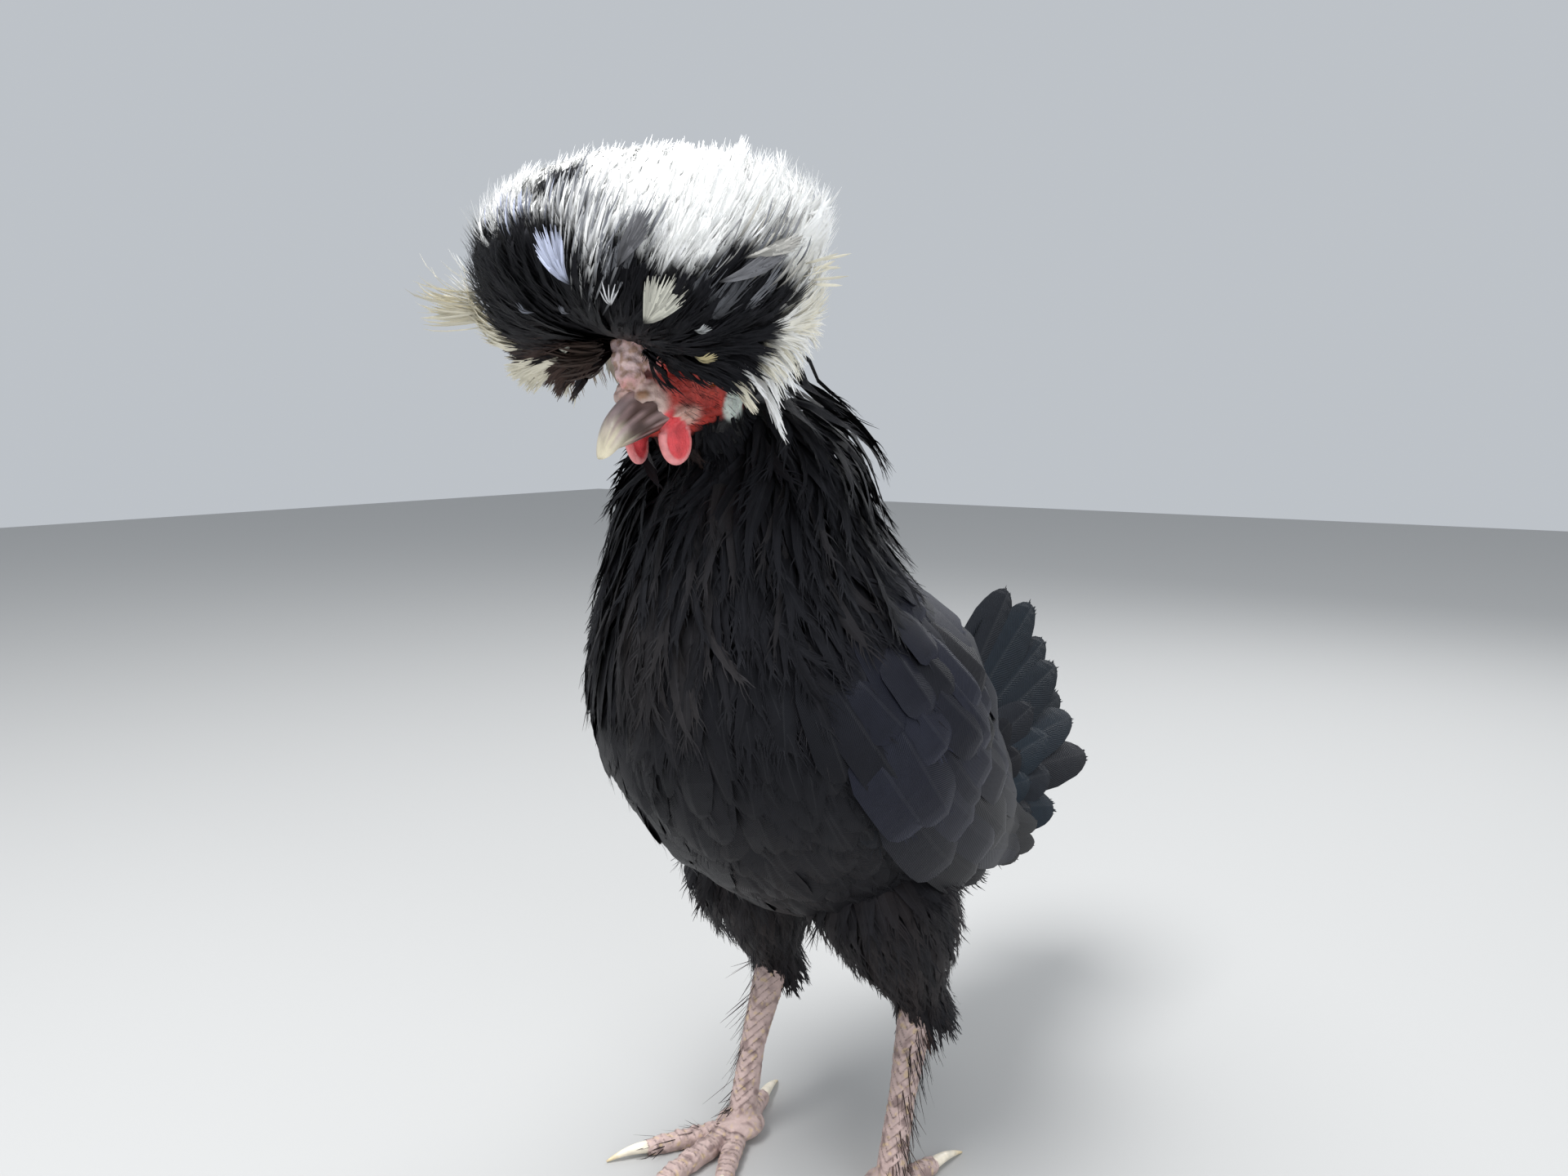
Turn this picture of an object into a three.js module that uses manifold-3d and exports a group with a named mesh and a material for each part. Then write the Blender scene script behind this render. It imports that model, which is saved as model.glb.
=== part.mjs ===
// A polish crested hen, life size, standing with its head a little bowed. Her large feathers are
// vanes fused to the body part that they grow from, with their roots sunk well into it.
// Millimetres, +Z up, the bill towards -Y, the bird's left side at +X, the feet on z = 0.
import * as THREE from 'three';
import { mergeVertices } from 'three/addons/utils/BufferGeometryUtils.js';
import Module from 'manifold-3d';

const wasm = await Module();
wasm.setup();
const { Manifold } = wasm;

// The gap that touching pieces keep.
const GAP = 0.3;

// The body and neck are one run of oval sections, from the rump to the base of the skull. Each
// station gives the section's centre and its half width, its reach to the back and to the breast.
const STATIONS = [
  { y: 97, z: 97, side: 12, back: 10, front: 10 },
  { y: 75, z: 107, side: 34, back: 25, front: 28 },
  { y: 45, z: 125, side: 48, back: 38, front: 44 },
  { y: 12, z: 147, side: 55, back: 45, front: 54 },
  { y: -14, z: 172, side: 57, back: 45, front: 57 },
  { y: -30, z: 199, side: 48, back: 38, front: 50 },
  { y: -38, z: 224, side: 38, back: 34, front: 35 },
  { y: -40, z: 245, side: 35, back: 32, front: 18 },
  { y: -43, z: 265, side: 20, back: 21, front: 4 },
];
const NECK_START = 0.66;
const NECK_END = 0.995;
const NECK_RINGS = 7;
const NECK_SIDES = 18;
const TORSO_RINGS = 14;
const TORSO_SIDES = 26;
const SEAM = 0.0015;

// The head, turned down about its own centre.
const HEAD_AT = [0, -60, 266];
const HEAD_BOW = 14;
const SKULL = { at: [0, 0, 1], radii: [14, 18, 14.5] };
const FACE = { at: [0, -6.5, -3.5], radii: [11.5, 12.5, 10] };
const THROAT = { at: [0, 3, -9], radii: [10.5, 13, 9] };
const KNOB = { at: [0, -5, 12.5], radii: [12.5, 14.5, 9] };
const COMB = [
  { at: [0, -20.5, 10.5], radii: [4.6, 4.6, 5.4] },
  { at: [2.6, -20, 14.5], radii: [2.8, 3.6, 3.8] },
  { at: [-2.6, -20, 14.5], radii: [2.8, 3.6, 3.8] },
];
const EYE = { at: [10.8, -5, 3.5], radius: 4.3 };
const LOBE = { at: [12.6, 4.5, -7], radii: [2.4, 4.4, 6.4] };

const LID = { at: [12.4, -5, 3.5], radius: 4.5, tube: 0.9 };
const MOUTH = { at: [0, -14, -5.4], radii: [13, 5.5, 0.45] };
const NOSTRIL = { at: [5, -21.3, 0.2], radius: 2.1, tube: 0.9, hole: [3.5, 2.1, 1] };

// The two halves of the bill: each one's length as a share of the whole, its height and how far
// its seam drops towards the tip.
const BILL_LENGTH = 19.5;
const BILL_ROOT = { y: -11, z: -4.5 };
const BILL_HALF_WIDTH = 7.4;
const BILL_UPPER = { share: 1, tall: 9, drop: 6.3, way: 1 };
const BILL_LOWER = { share: 0.86, tall: 5, drop: 5.25, way: -1 };

const WATTLE = { at: [6.2, -17.5, -10.5], length: 14, radii: [1.8, 4.6] };

// The crest is a globe of feathers that root on the knob, arch over and hang. A row's fall is the
// angle from the top of the globe to its tips, which past 90 degrees hang below its widest place.
// Its feathers are spread by their turn from the front, and reach is less where they are shorter.
const CREST_AT = [0, -7.5, 35.5];
const CREST_RADII = { side: 50, front: 44, back: 50, up: 34 };
const CREST_CORE = { at: [0, -7, 24], radii: [25, 22, 18] };
const CREST_ROWS = [
  { fall: 15, count: 4, width: 23, from: 0, to: 270 },
  { fall: 40, count: 7, width: 24, from: 25, to: 334 },
  { fall: 63, count: 9, width: 26, from: 0, to: 320 },
  { fall: 87, count: 10, width: 25, from: 18, to: 342 },
  { fall: 100, count: 3, width: 17, from: -30, to: 30, reach: 0.83 },
  { fall: 111, count: 8, width: 25, from: 38, to: 322 },
  { fall: 118, count: 2, width: 16, from: -21, to: 21, reach: 0.74 },
  { fall: 138, count: 7, width: 24, from: 52, to: 308 },
  { fall: 168, count: 6, width: 22, from: 76, to: 284 },
];

// The neck's hackle: each row's place along the neck, its feathers, and the angle left bare in
// front for the face.
const HACKLE_ROWS = [
  { t: 0.945, count: 7, length: 27, width: 18, bare: 60 },
  { t: 0.86, count: 10, length: 31, width: 19, bare: 0 },
  { t: 0.775, count: 12, length: 27, width: 19, bare: 0 },
];

// How much longer the hackle is over the breast, how deep its roots are sunk, and how far its
// feathers stand off the body, the overlapping ones by turns.
const HACKLE_DROP = 0.75;
const HACKLE_SUNK = 2.5;
const HACKLE_LIFTS = [3.2, 1.5];

// The folded wing lies on the flank. Each row of feathers runs from its upper feather to its
// lower one: where they root and end along the body, the angles there, and their lift off it.
const WING_BED = { side: 40, back: 32, front: 36 };
const WING_PAD = { t: 0.505, reach: 0.1, angle: 5, spread: 34, thick: 5.5 };
const PAD_RIM = 1.6;
const PAD_SUNK = 0.7;
const UNDER_WING = { t: 0.32, reach: 0.31, angle: 6, spread: 44, thick: 12 };
const WING_ROWS = [
  {
    count: 4, width: 12.5, roll: -6,
    root: { t: [0.38, 0.37], angle: [0, -18], lift: 1.7 },
    tip: { t: [0.07, 0.035], angle: [12, -8], lift: 1.7 },
  },
  {
    count: 6, width: 16, roll: -10,
    root: { t: [0.46, 0.42], angle: [32, -22], lift: 2.6 },
    tip: { t: [0.2, 0.12], angle: [38, -8], lift: 4.2 },
  },
  {
    count: 5, width: 18.5, roll: -9,
    root: { t: [0.51, 0.47], angle: [32, -24], lift: 3.4 },
    tip: { t: [0.37, 0.32], angle: [37, -20], lift: 7.4 },
  },
  {
    count: 4, width: 20, roll: -9,
    root: { t: [0.57, 0.53], angle: [29, -20], lift: 3.8 },
    tip: { t: [0.455, 0.41], angle: [34, -20], lift: 9.6 },
  },
];

// The tail is a tent of feathers, in pairs from the steep upper ones down to the level lower ones,
// with coverts over their roots. Each rank leans further out than the one above.
const TAIL_ROOT = [0, 78, 122];
const TAIL_LUMP = { at: [0, 79, 118], radii: [18, 22, 18] };
const TAIL_FEATHERS = { pairs: 5, rise: 43, fan: 9, length: 100, width: 25 };
const TAIL_COVERTS = { pairs: 2, rise: 32, fan: 16, length: 56, width: 26 };
const TAIL_LEAN = 3.2;
const TAIL_SAG = 4;
const TAIL_OUTWARD = [0.86, 0, 0.5];

// A vane's thickness, where it starts to narrow towards its tip, and the places along it where
// its width is set.
const VANE_THICK = 0.9;
const VANE_SHOULDER = 0.6;
const LONG_VANE = [0, 0.3, 0.62, 0.9, 1];
const SHORT_VANE = [0, 0.4, 0.84, 1];
const STEP = 0.02;

// The legs: hip, knee end of the feathered thigh, hock, and the ball of the foot.
const THIGH = [[24, -5, 126], [25.5, 3, 110], [28, 13, 90], [30, 23, 66]];
const HOCK = THIGH[3];
const FOOT = [31, 3, 4];
const THIGH_RADII = [14, 25, 20, 8.5];
const SHANK_RADII = [7, 4.6, 5.2];
const BALL_RADII = [8.9, 8.9, 5.4];

// Each toe: its length without the claw, its bearing from straight ahead towards the outer side,
// and its radius. Its girth along it is a share of that, and it rests with its underside flat.
const TOES = {
  inner: { length: 22, bearing: -26, radius: 3.7 },
  middle: { length: 32, bearing: 4, radius: 4 },
  outer: { length: 25, bearing: 35, radius: 3.6 },
  hind: { length: 13, bearing: 166, radius: 3.5 },
};
const TOE_START = 9.2;
const TOE_STOPS = [0, 0.4, 1];
const TOE_GIRTH = [0.55, 1.05, 0.8];
const TOE_REST = 0.8;
const CLAW_LENGTH = 15;
const CLAW_RADII = [2.3, 1.6, 0.6];

const black = new THREE.MeshStandardMaterial({ color: 0x17161a, roughness: 0.55, metalness: 0 });
const white = new THREE.MeshStandardMaterial({ color: 0xf1eee6, roughness: 0.7, metalness: 0 });
const faceSkin = new THREE.MeshStandardMaterial({ color: 0xb0473f, roughness: 0.6, metalness: 0 });
const combSkin = new THREE.MeshStandardMaterial({ color: 0xb98a80, roughness: 0.75, metalness: 0 });
const wattleSkin = new THREE.MeshStandardMaterial({ color: 0xd8494c, roughness: 0.45, metalness: 0 });
const lobeSkin = new THREE.MeshStandardMaterial({ color: 0xd9dcd2, roughness: 0.6, metalness: 0 });
const horn = new THREE.MeshStandardMaterial({ color: 0xb9a58e, roughness: 0.35, metalness: 0 });
const clawHorn = new THREE.MeshStandardMaterial({ color: 0xe9e2cf, roughness: 0.35, metalness: 0 });
const scales = new THREE.MeshStandardMaterial({ color: 0xb9aba4, roughness: 0.6, metalness: 0 });
const eyeGloss = new THREE.MeshStandardMaterial({ color: 0x7a3a16, roughness: 0.08, metalness: 0 });

const vector = (p) => new THREE.Vector3(...p);
const radians = THREE.MathUtils.degToRad;
const mix = THREE.MathUtils.lerp;

// A closed geometry as a solid, turned so that its faces point outwards.
function solidOf(geometry) {
  const bare = geometry.clone();
  bare.deleteAttribute('normal');
  bare.deleteAttribute('uv');
  const merged = mergeVertices(bare, 1e-4);
  const vertProperties = new Float32Array(merged.attributes.position.array);
  const triVerts = Uint32Array.from(merged.index.array);
  const made = new Manifold(new wasm.Mesh({ numProp: 3, vertProperties, triVerts }));
  if (made.volume() > 0) return made;
  for (let i = 0; i < triVerts.length; i += 3)
    [triVerts[i + 1], triVerts[i + 2]] = [triVerts[i + 2], triVerts[i + 1]];
  return new Manifold(new wasm.Mesh({ numProp: 3, vertProperties, triVerts }));
}

function geometryFrom(points, faces) {
  const positions = new Float32Array(points.flatMap((p) => [p.x, p.y, p.z]));
  return new THREE.BufferGeometry()
    .setAttribute('position', new THREE.BufferAttribute(positions, 3))
    .setIndex(faces);
}

// A stack of rings of points closed into a tube with fan ends.
function tube(rings) {
  const count = rings[0].length;
  const points = rings.flat();
  const faces = [];
  for (let i = 0; i + 1 < rings.length; i++)
    for (let j = 0; j < count; j++) {
      const a = i * count + j;
      const b = i * count + ((j + 1) % count);
      faces.push(a, b, b + count, a, b + count, a + count);
    }
  for (const end of [0, rings.length - 1]) {
    const hub = points.length;
    const middle = new THREE.Vector3();
    rings[end].forEach((p) => middle.addScaledVector(p, 1 / count));
    points.push(middle);
    for (let j = 0; j < count; j++) {
      const a = end * count + j;
      const b = end * count + ((j + 1) % count);
      faces.push(...(end === 0 ? [hub, b, a] : [hub, a, b]));
    }
  }
  return solidOf(geometryFrom(points, faces));
}

// The same draws in the same order on every run.
let seed = 20;
function random(low, high) {
  seed = (seed * 1664525 + 1013904223) % 4294967296;
  return mix(low, high, seed / 4294967296);
}

// A feather's vane: a thin strip along a path, wide in the middle and rounded to a point.
function vane(place, outward, { width, stops, roll = 0, base = 0.4, spread = 2 }) {
  const points = [];
  const faces = [];
  const last = stops.length - 1;
  stops.forEach((s, i) => {
    const along = place(s + STEP).sub(place(s - STEP)).normalize();
    const across = new THREE.Vector3().crossVectors(along, outward(s)).normalize();
    across.applyAxisAngle(along, radians(roll));
    const up = new THREE.Vector3().crossVectors(across, along);
    if (i === last) {
      points.push(place(s));
      return;
    }
    const rounding = Math.max(0, (s - VANE_SHOULDER) / (1 - VANE_SHOULDER));
    const half = width / 2 * Math.min(1, base + spread * s) * Math.sqrt(1 - rounding * rounding);
    for (const [edge, face] of [[-1, 0.5], [1, 0.5], [1, -0.5], [-1, -0.5]]) {
      const corner = place(s).addScaledVector(across, edge * half);
      points.push(corner.addScaledVector(up, face * VANE_THICK));
    }
  });
  faces.push(0, 3, 2, 0, 2, 1);
  for (let i = 0; i + 1 < last; i++) {
    const [a0, a1, a2, a3, b0, b1, b2, b3] = Array.from({ length: 8 }, (_, k) => i * 4 + k);
    faces.push(a0, a1, b1, a0, b1, b0, a3, b2, a2, a3, b3, b2);
    faces.push(a1, a2, b2, a1, b2, b1, a3, a0, b0, a3, b0, b3);
  }
  const end = (last - 1) * 4;
  const tip = last * 4;
  for (let k = 0; k < 4; k++) faces.push(end + k, end + ((k + 1) % 4), tip);
  return solidOf(geometryFrom(points, faces));
}

// A bar along points, with a radius for each, flat where it would pass below the floor.
function bar(points, radii, sides = 12) {
  const curve = new THREE.CatmullRomCurve3(points.map(vector));
  const last = points.length - 1;
  const rings = [];
  const steps = last * 2;
  for (let i = 0; i <= steps; i++) {
    const s = i / steps;
    const k = Math.min(last - 1, Math.floor(s * last));
    const radius = mix(radii[k], radii[k + 1], s * last - k);
    const along = curve.getTangent(s);
    const across = new THREE.Vector3(1, 0, 0).addScaledVector(along, -along.x).normalize();
    across.applyAxisAngle(along, Math.PI / sides);
    const up = new THREE.Vector3().crossVectors(along, across);
    const ring = ringOf(curve.getPoint(s), across, up, radius, radius, radius, sides);
    ring.forEach((p) => { p.z = Math.max(p.z, 0); });
    rings.push(ring);
  }
  return tube(rings);
}

// A small ring on the skin at a spot, facing out to the side.
function sideRing({ at, radius, tube: thick }, side) {
  const geometry = new THREE.TorusGeometry(radius, thick, 5, 10).rotateY(Math.PI / 2);
  return solidOf(geometry.translate(at[0] * side, at[1], at[2]));
}

// A ring of points round a centre, with its own reach to the side, upwards and downwards.
function ringOf(centre, across, up, side, high, low, sides) {
  return Array.from({ length: sides }, (_, j) => {
    const angle = (j / sides) * 2 * Math.PI;
    const reach = Math.sin(angle) > 0 ? high : low;
    return centre.clone()
      .addScaledVector(across, side * Math.cos(angle))
      .addScaledVector(up, reach * Math.sin(angle));
  });
}

// An ellipsoid, swollen by grow.
function ball({ at, radii }, grow = 0, detail = 18) {
  const geometry = new THREE.SphereGeometry(1, detail, Math.round(detail / 2));
  geometry.scale(...radii.map((r) => r + grow)).translate(...at);
  return solidOf(geometry);
}

const mirrored = (spot, side) => ({ ...spot, at: [spot.at[0] * side, spot.at[1], spot.at[2]] });

// Keeps the largest closed surface of a solid, without scraps and sealed hollows.
function whole(solid) {
  return solid.decompose().sort((a, b) => b.volume() - a.volume())[0];
}

function meshOf(name, solid, material) {
  const { vertProperties, triVerts } = whole(solid).getMesh();
  const geometry = new THREE.BufferGeometry()
    .setAttribute('position', new THREE.BufferAttribute(new Float32Array(vertProperties), 3))
    .setIndex(new THREE.BufferAttribute(new Uint32Array(triVerts), 1));
  geometry.computeVertexNormals();
  const mesh = new THREE.Mesh(geometry, material);
  mesh.name = name;
  return mesh;
}

const spine = new THREE.CatmullRomCurve3(
  STATIONS.map((s) => new THREE.Vector3(0, s.y, s.z)), false, 'catmullrom', 0.5);
const girth = new THREE.CatmullRomCurve3(
  STATIONS.map((s) => new THREE.Vector3(s.side, s.back, s.front)), false, 'catmullrom', 0.5);

// The section of the body at t, from 0 at the rump to 1 at the skull.
function section(t) {
  const held = THREE.MathUtils.clamp(t, 0, 1);
  const centre = spine.getPoint(held);
  const along = spine.getTangent(held);
  centre.addScaledVector(along, (t - held) * spine.getLength());
  const up = new THREE.Vector3().crossVectors(along, new THREE.Vector3(1, 0, 0));
  const size = girth.getPoint(held);
  return { centre, up, side: size.x, back: size.y, front: size.z };
}

// The body's ring at t, swollen by grow. Angle 0 is the left flank and 90 degrees the back.
function bodyRing(t, grow, sides) {
  const s = section(t);
  const across = new THREE.Vector3(1, 0, 0);
  return ringOf(s.centre, across, s.up, s.side + grow, s.back + grow, s.front + grow, sides);
}

function bodyPart(from, to, rings, sides, grow = 0) {
  const stops = Array.from({ length: rings + 1 }, (_, i) => mix(from, to, i / rings));
  return tube(stops.map((t) => bodyRing(t, grow, sides)));
}

function torsoSolid(grow = 0) {
  return bodyPart(grow ? -2 * SEAM : 0, NECK_START, TORSO_RINGS, TORSO_SIDES, grow);
}

// A point on the body at t and an angle in degrees, raised by lift.
function hide(t, angle, lift) {
  const s = section(t);
  const turn = radians(angle);
  const reach = Math.sin(turn) > 0 ? s.back : s.front;
  return s.centre.clone()
    .add(new THREE.Vector3((s.side + lift) * Math.cos(turn), 0, 0))
    .addScaledVector(s.up, (reach + lift) * Math.sin(turn));
}

function hackleVane(t, angle, { length, width }, lift, flare) {
  const speed = hide(t, angle, 0).distanceTo(hide(t - STEP, angle, 0)) / STEP;
  const run = length / speed;
  const height = (s) => mix(-HACKLE_SUNK, lift, Math.min(1, s / 0.3)) + flare * s * s;
  const place = (s) => hide(t - run * s, angle, height(s));
  const outward = (s) => hide(t - run * s, angle, 10).sub(hide(t - run * s, angle, 0));
  return vane(place, outward, { width, stops: SHORT_VANE, roll: random(-1.5, 1.5) });
}

function neckSolid() {
  const pieces = [bodyPart(NECK_START + SEAM, NECK_END, NECK_RINGS, NECK_SIDES)];
  HACKLE_ROWS.forEach((row, i) => {
    for (let k = 0; k < row.count; k++) {
      const spread = 360 - 2 * row.bare;
      const step = row.bare ? spread / (row.count - 1) : spread / row.count;
      const angle = -90 + row.bare + step * (k + (row.bare ? 0 : 0.5 * (i % 2))) + random(-2, 2);
      const drop = 1 + HACKLE_DROP * Math.max(0, -Math.sin(radians(angle)));
      const length = row.length * random(0.9, 1.12) * drop;
      const t = row.t + random(-0.008, 0.008);
      pieces.push(hackleVane(t, angle, { ...row, length }, HACKLE_LIFTS[k % 2], random(2, 4)));
    }
  });
  return Manifold.union(pieces);
}

function headSolid(grow = 0) {
  return Manifold.union([SKULL, FACE, THROAT, KNOB].map((part) => ball(part, grow, 11)));
}

// The flank that a folded wing lies on: the body, but no narrower than the wing.
function flank(t, angle, lift) {
  const s = section(t);
  const side = Math.max(s.side, WING_BED.side) + lift;
  const tall = Math.sin(angle) > 0 ? Math.max(s.back, WING_BED.back) : Math.max(s.front, WING_BED.front);
  return s.centre.clone()
    .add(new THREE.Vector3(side * Math.cos(angle), 0, 0))
    .addScaledVector(s.up, (tall + lift) * Math.sin(angle));
}

// A pad on the flank round its centre, thickest in the middle and thin at its rim.
function wingPad(side, { t, reach, angle, spread, thick }, inner = PAD_SUNK) {
  const spokes = 12;
  const rings = 3;
  const points = [];
  const faces = [];
  const place = (out, turn, lift) => {
    const round = radians(angle + spread * out * Math.sin(turn));
    const p = flank(t + reach * out * Math.cos(turn), round, lift);
    return new THREE.Vector3(p.x * side, p.y, p.z);
  };
  for (const outer of [true, false]) {
    const start = points.length;
    const rise = (out) => (outer ? PAD_RIM + thick * (1 - out * out) : inner);
    points.push(place(0, 0, rise(0)));
    for (let i = 1; i <= rings; i++)
      for (let j = 0; j < spokes; j++)
        points.push(place(i / rings, (j / spokes) * 2 * Math.PI, rise(i / rings)));
    const at = (i, j) => start + 1 + (i - 1) * spokes + (j % spokes);
    for (let j = 0; j < spokes; j++) {
      const turned = (a, b, c) => faces.push(...(outer ? [a, b, c] : [a, c, b]));
      turned(start, at(1, j), at(1, j + 1));
      for (let i = 1; i < rings; i++) {
        turned(at(i, j), at(i + 1, j), at(i + 1, j + 1));
        turned(at(i, j), at(i + 1, j + 1), at(i, j + 1));
      }
    }
  }
  const rim = 1 + (rings - 1) * spokes;
  const other = 1 + rings * spokes + rim;
  for (let j = 0; j < spokes; j++) {
    const k = (j + 1) % spokes;
    faces.push(rim + j, other + j, other + k, rim + j, other + k, rim + k);
  }
  return solidOf(geometryFrom(points, faces));
}

function wingVane(side, row, k) {
  const share = row.count > 1 ? k / (row.count - 1) : 0;
  const at = (end, key) => mix(end[key][0], end[key][1], share);
  const from = { t: at(row.root, 't') + random(-0.005, 0.005), angle: at(row.root, 'angle') };
  const to = { t: at(row.tip, 't') + random(-0.008, 0.008), angle: at(row.tip, 'angle') + random(-1, 1) };
  const surface = (s, lift) => {
    const p = flank(mix(from.t, to.t, s), radians(mix(from.angle, to.angle, s)), lift);
    return new THREE.Vector3(p.x * side, p.y, p.z);
  };
  const place = (s) => surface(s, mix(row.root.lift, row.tip.lift, s));
  const outward = (s) => surface(s, 10).sub(surface(s, 0));
  const stops = from.t - to.t > 0.32 ? LONG_VANE : SHORT_VANE;
  return vane(place, outward, { width: row.width, stops, roll: row.roll * side });
}

function wingSolid(side) {
  const pieces = [wingPad(side, WING_PAD)];
  for (const row of WING_ROWS)
    for (let k = 0; k < row.count; k++) pieces.push(wingVane(side, row, k));
  return Manifold.union(pieces);
}

function tailVane(side, rank, rise, length, width, stops) {
  const out = side * radians(1 + TAIL_LEAN * rank);
  const climb = radians(rise);
  const along = new THREE.Vector3(Math.sin(out), Math.cos(out) * Math.cos(climb), Math.sin(climb));
  const root = vector(TAIL_ROOT).add(new THREE.Vector3(side * (2 + 2.2 * rank), 0, -1.6 * rank));
  const place = (s) => root.clone().addScaledVector(along, length * s).setZ(
    root.z + along.z * length * s - TAIL_SAG * s * s);
  const outward = () => new THREE.Vector3(side * TAIL_OUTWARD[0], 0, TAIL_OUTWARD[2]);
  return vane(place, outward, { width, stops, base: 0.3, spread: 1.7 });
}

function tailSolid() {
  const pieces = [ball(TAIL_LUMP, 0, 8)];
  for (const side of [1, -1]) {
    for (let k = 0; k < TAIL_FEATHERS.pairs; k++) {
      const { rise, fan, length, width } = TAIL_FEATHERS;
      pieces.push(tailVane(side, k, rise - fan * k, length - 3 * k, width, LONG_VANE));
    }
    for (let k = 0; k < TAIL_COVERTS.pairs; k++) {
      const { rise, fan, length, width } = TAIL_COVERTS;
      pieces.push(tailVane(side, 4.4 + 2 * k, rise - fan * k, length - 3 * k, width, SHORT_VANE));
    }
  }
  return Manifold.union(pieces).subtract(torsoSolid(GAP));
}

// A place on the crest's outline, by its turn from the front and its fall from the top.
function crown(turn, fall, scale) {
  const around = radians(turn);
  const hang = Math.max(0, fall - 90) / 60;
  const ring = fall < 90 ? Math.sin(radians(fall)) : 1 - 0.22 * hang * hang;
  const height = fall < 90 ? Math.cos(radians(fall)) : 0.3 * hang * hang - 1.3 * hang;
  const fore = Math.cos(around) > 0 ? CREST_RADII.front : CREST_RADII.back;
  const x = ring * Math.sin(around) * CREST_RADII.side;
  const y = -ring * Math.cos(around) * fore;
  return vector(CREST_AT).add(new THREE.Vector3(x, y, height * CREST_RADII.up).multiplyScalar(scale));
}

function crestVane(turn, fall, width, reach) {
  const around = radians(turn);
  const lean = radians(Math.min(105, fall * 0.8));
  const way = new THREE.Vector3(
    Math.sin(lean) * Math.sin(around), -Math.sin(lean) * Math.cos(around), Math.cos(lean));
  const root = vector(CREST_CORE.at).add(way.multiply(vector(CREST_CORE.radii).multiplyScalar(0.45)));
  const path = new THREE.CubicBezierCurve3(
    root,
    crown(turn, fall * 0.55, 0.66 * reach),
    crown(turn, Math.max(4, fall - 33), 1.03 * reach),
    crown(turn + random(-4, 4), fall, random(0.95, 1) * reach));
  const place = (s) => path.getPoint(s);
  const tangent = new THREE.Vector3(-Math.cos(around), -Math.sin(around), 0);
  const outward = (s) => new THREE.Vector3().crossVectors(
    tangent, path.getPoint(s + STEP).sub(path.getPoint(s - STEP)));
  const roll = random(-5, 5);
  return vane(place, outward, { width, stops: LONG_VANE, roll, base: 0.2, spread: 1.2 });
}

function crestSolid(clear) {
  const pieces = [ball(CREST_CORE, 0, 8)];
  for (const { fall, count, width, from, to, reach = 1 } of CREST_ROWS)
    for (let k = 0; k < count; k++) {
      const turn = mix(from, to, k / (count - 1)) + random(-3, 3);
      pieces.push(crestVane(turn, fall + random(-3, 3), width * random(0.94, 1.06), reach));
    }
  return Manifold.union(pieces).subtract(clear);
}

function billPart({ share, tall, drop, way }, grow = 0) {
  const rings = [];
  const steps = 7;
  const sides = 8;
  for (let i = 0; i <= steps; i++) {
    const s = i / steps;
    const taper = Math.sqrt(1 - 0.97 * s * s);
    const y = BILL_ROOT.y - (BILL_LENGTH + 6) * s * share;
    const seam = BILL_ROOT.z - drop * s * s + (way > 0 ? GAP - grow : grow);
    const wide = BILL_HALF_WIDTH * taper + grow;
    const high = tall * taper + grow;
    const ring = [];
    for (let j = 0; j <= sides; j++) {
      const angle = (j / sides) * Math.PI;
      ring.push(new THREE.Vector3(Math.cos(angle) * wide, y, seam + Math.sin(angle) * high * way));
    }
    rings.push(ring);
  }
  return tube(rings);
}

// A wattle hangs straight down however the head is bowed.
function wattleSolid(side, clear) {
  const bow = radians(HEAD_BOW);
  const hang = new THREE.Vector3(0, -Math.sin(bow), -Math.cos(bow));
  const middle = vector(WATTLE.at).addScaledVector(hang, WATTLE.length * 0.42);
  const at = [middle.x * side, middle.y, middle.z];
  return ball({ at, radii: [...WATTLE.radii, WATTLE.length * 0.58] }, 0, 16).subtract(clear);
}

function thighSolid() {
  return bar(THIGH, THIGH_RADII, 14).subtract(torsoSolid(GAP));
}

// The ball of the foot, flat where it meets the floor.
function footBall() {
  const geometry = new THREE.SphereGeometry(1, 12, 6).rotateX(Math.PI / 2);
  geometry.scale(...BALL_RADII).translate(...FOOT);
  const { position } = geometry.attributes;
  for (let i = 0; i < position.count; i++) position.setZ(i, Math.max(0, position.getZ(i)));
  return solidOf(geometry);
}

function shankSolid() {
  const top = [HOCK[0], HOCK[1], HOCK[2] - 6];
  return Manifold.union([
    bar([top, [FOOT[0], mix(HOCK[1], FOOT[1], 0.6), 32], FOOT], SHANK_RADII, 10),
    footBall(),
  ]);
}

// A point over the floor at a reach from the middle of the foot.
function toePoint({ bearing }, reach, height) {
  const turn = radians(bearing);
  return [Math.sin(turn) * reach, -Math.cos(turn) * reach, height];
}

function toeSolid(toe) {
  const radii = TOE_GIRTH.map((share) => toe.radius * share);
  const points = TOE_STOPS.map((s, i) => toePoint(toe, TOE_START + toe.length * s, radii[i] * TOE_REST));
  return bar(points, radii, 8);
}

function clawSolid(toe) {
  const start = TOE_START + toe.length + GAP;
  const height = toe.radius * TOE_GIRTH.at(-1) * TOE_REST;
  const arch = (s) => 3.2 * s * (1 - s) - 1.6 * s * s;
  const points = [0, 0.5, 1].map((s) => toePoint(toe, start + CLAW_LENGTH * s, height + arch(s)));
  return bar(points, CLAW_RADII, 6);
}

const bird = new THREE.Group();

function add(parent, name, solid, material) {
  parent.add(meshOf(name, solid, material));
}

const SIDES = [['left', 1], ['right', -1]];
const bothSides = (make) => SIDES.map(([, side]) => make(side));

add(bird, 'torso', torsoSolid(), black);
add(bird, 'neck', neckSolid(), black);
add(bird, 'tail', tailSolid(), black);

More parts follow.
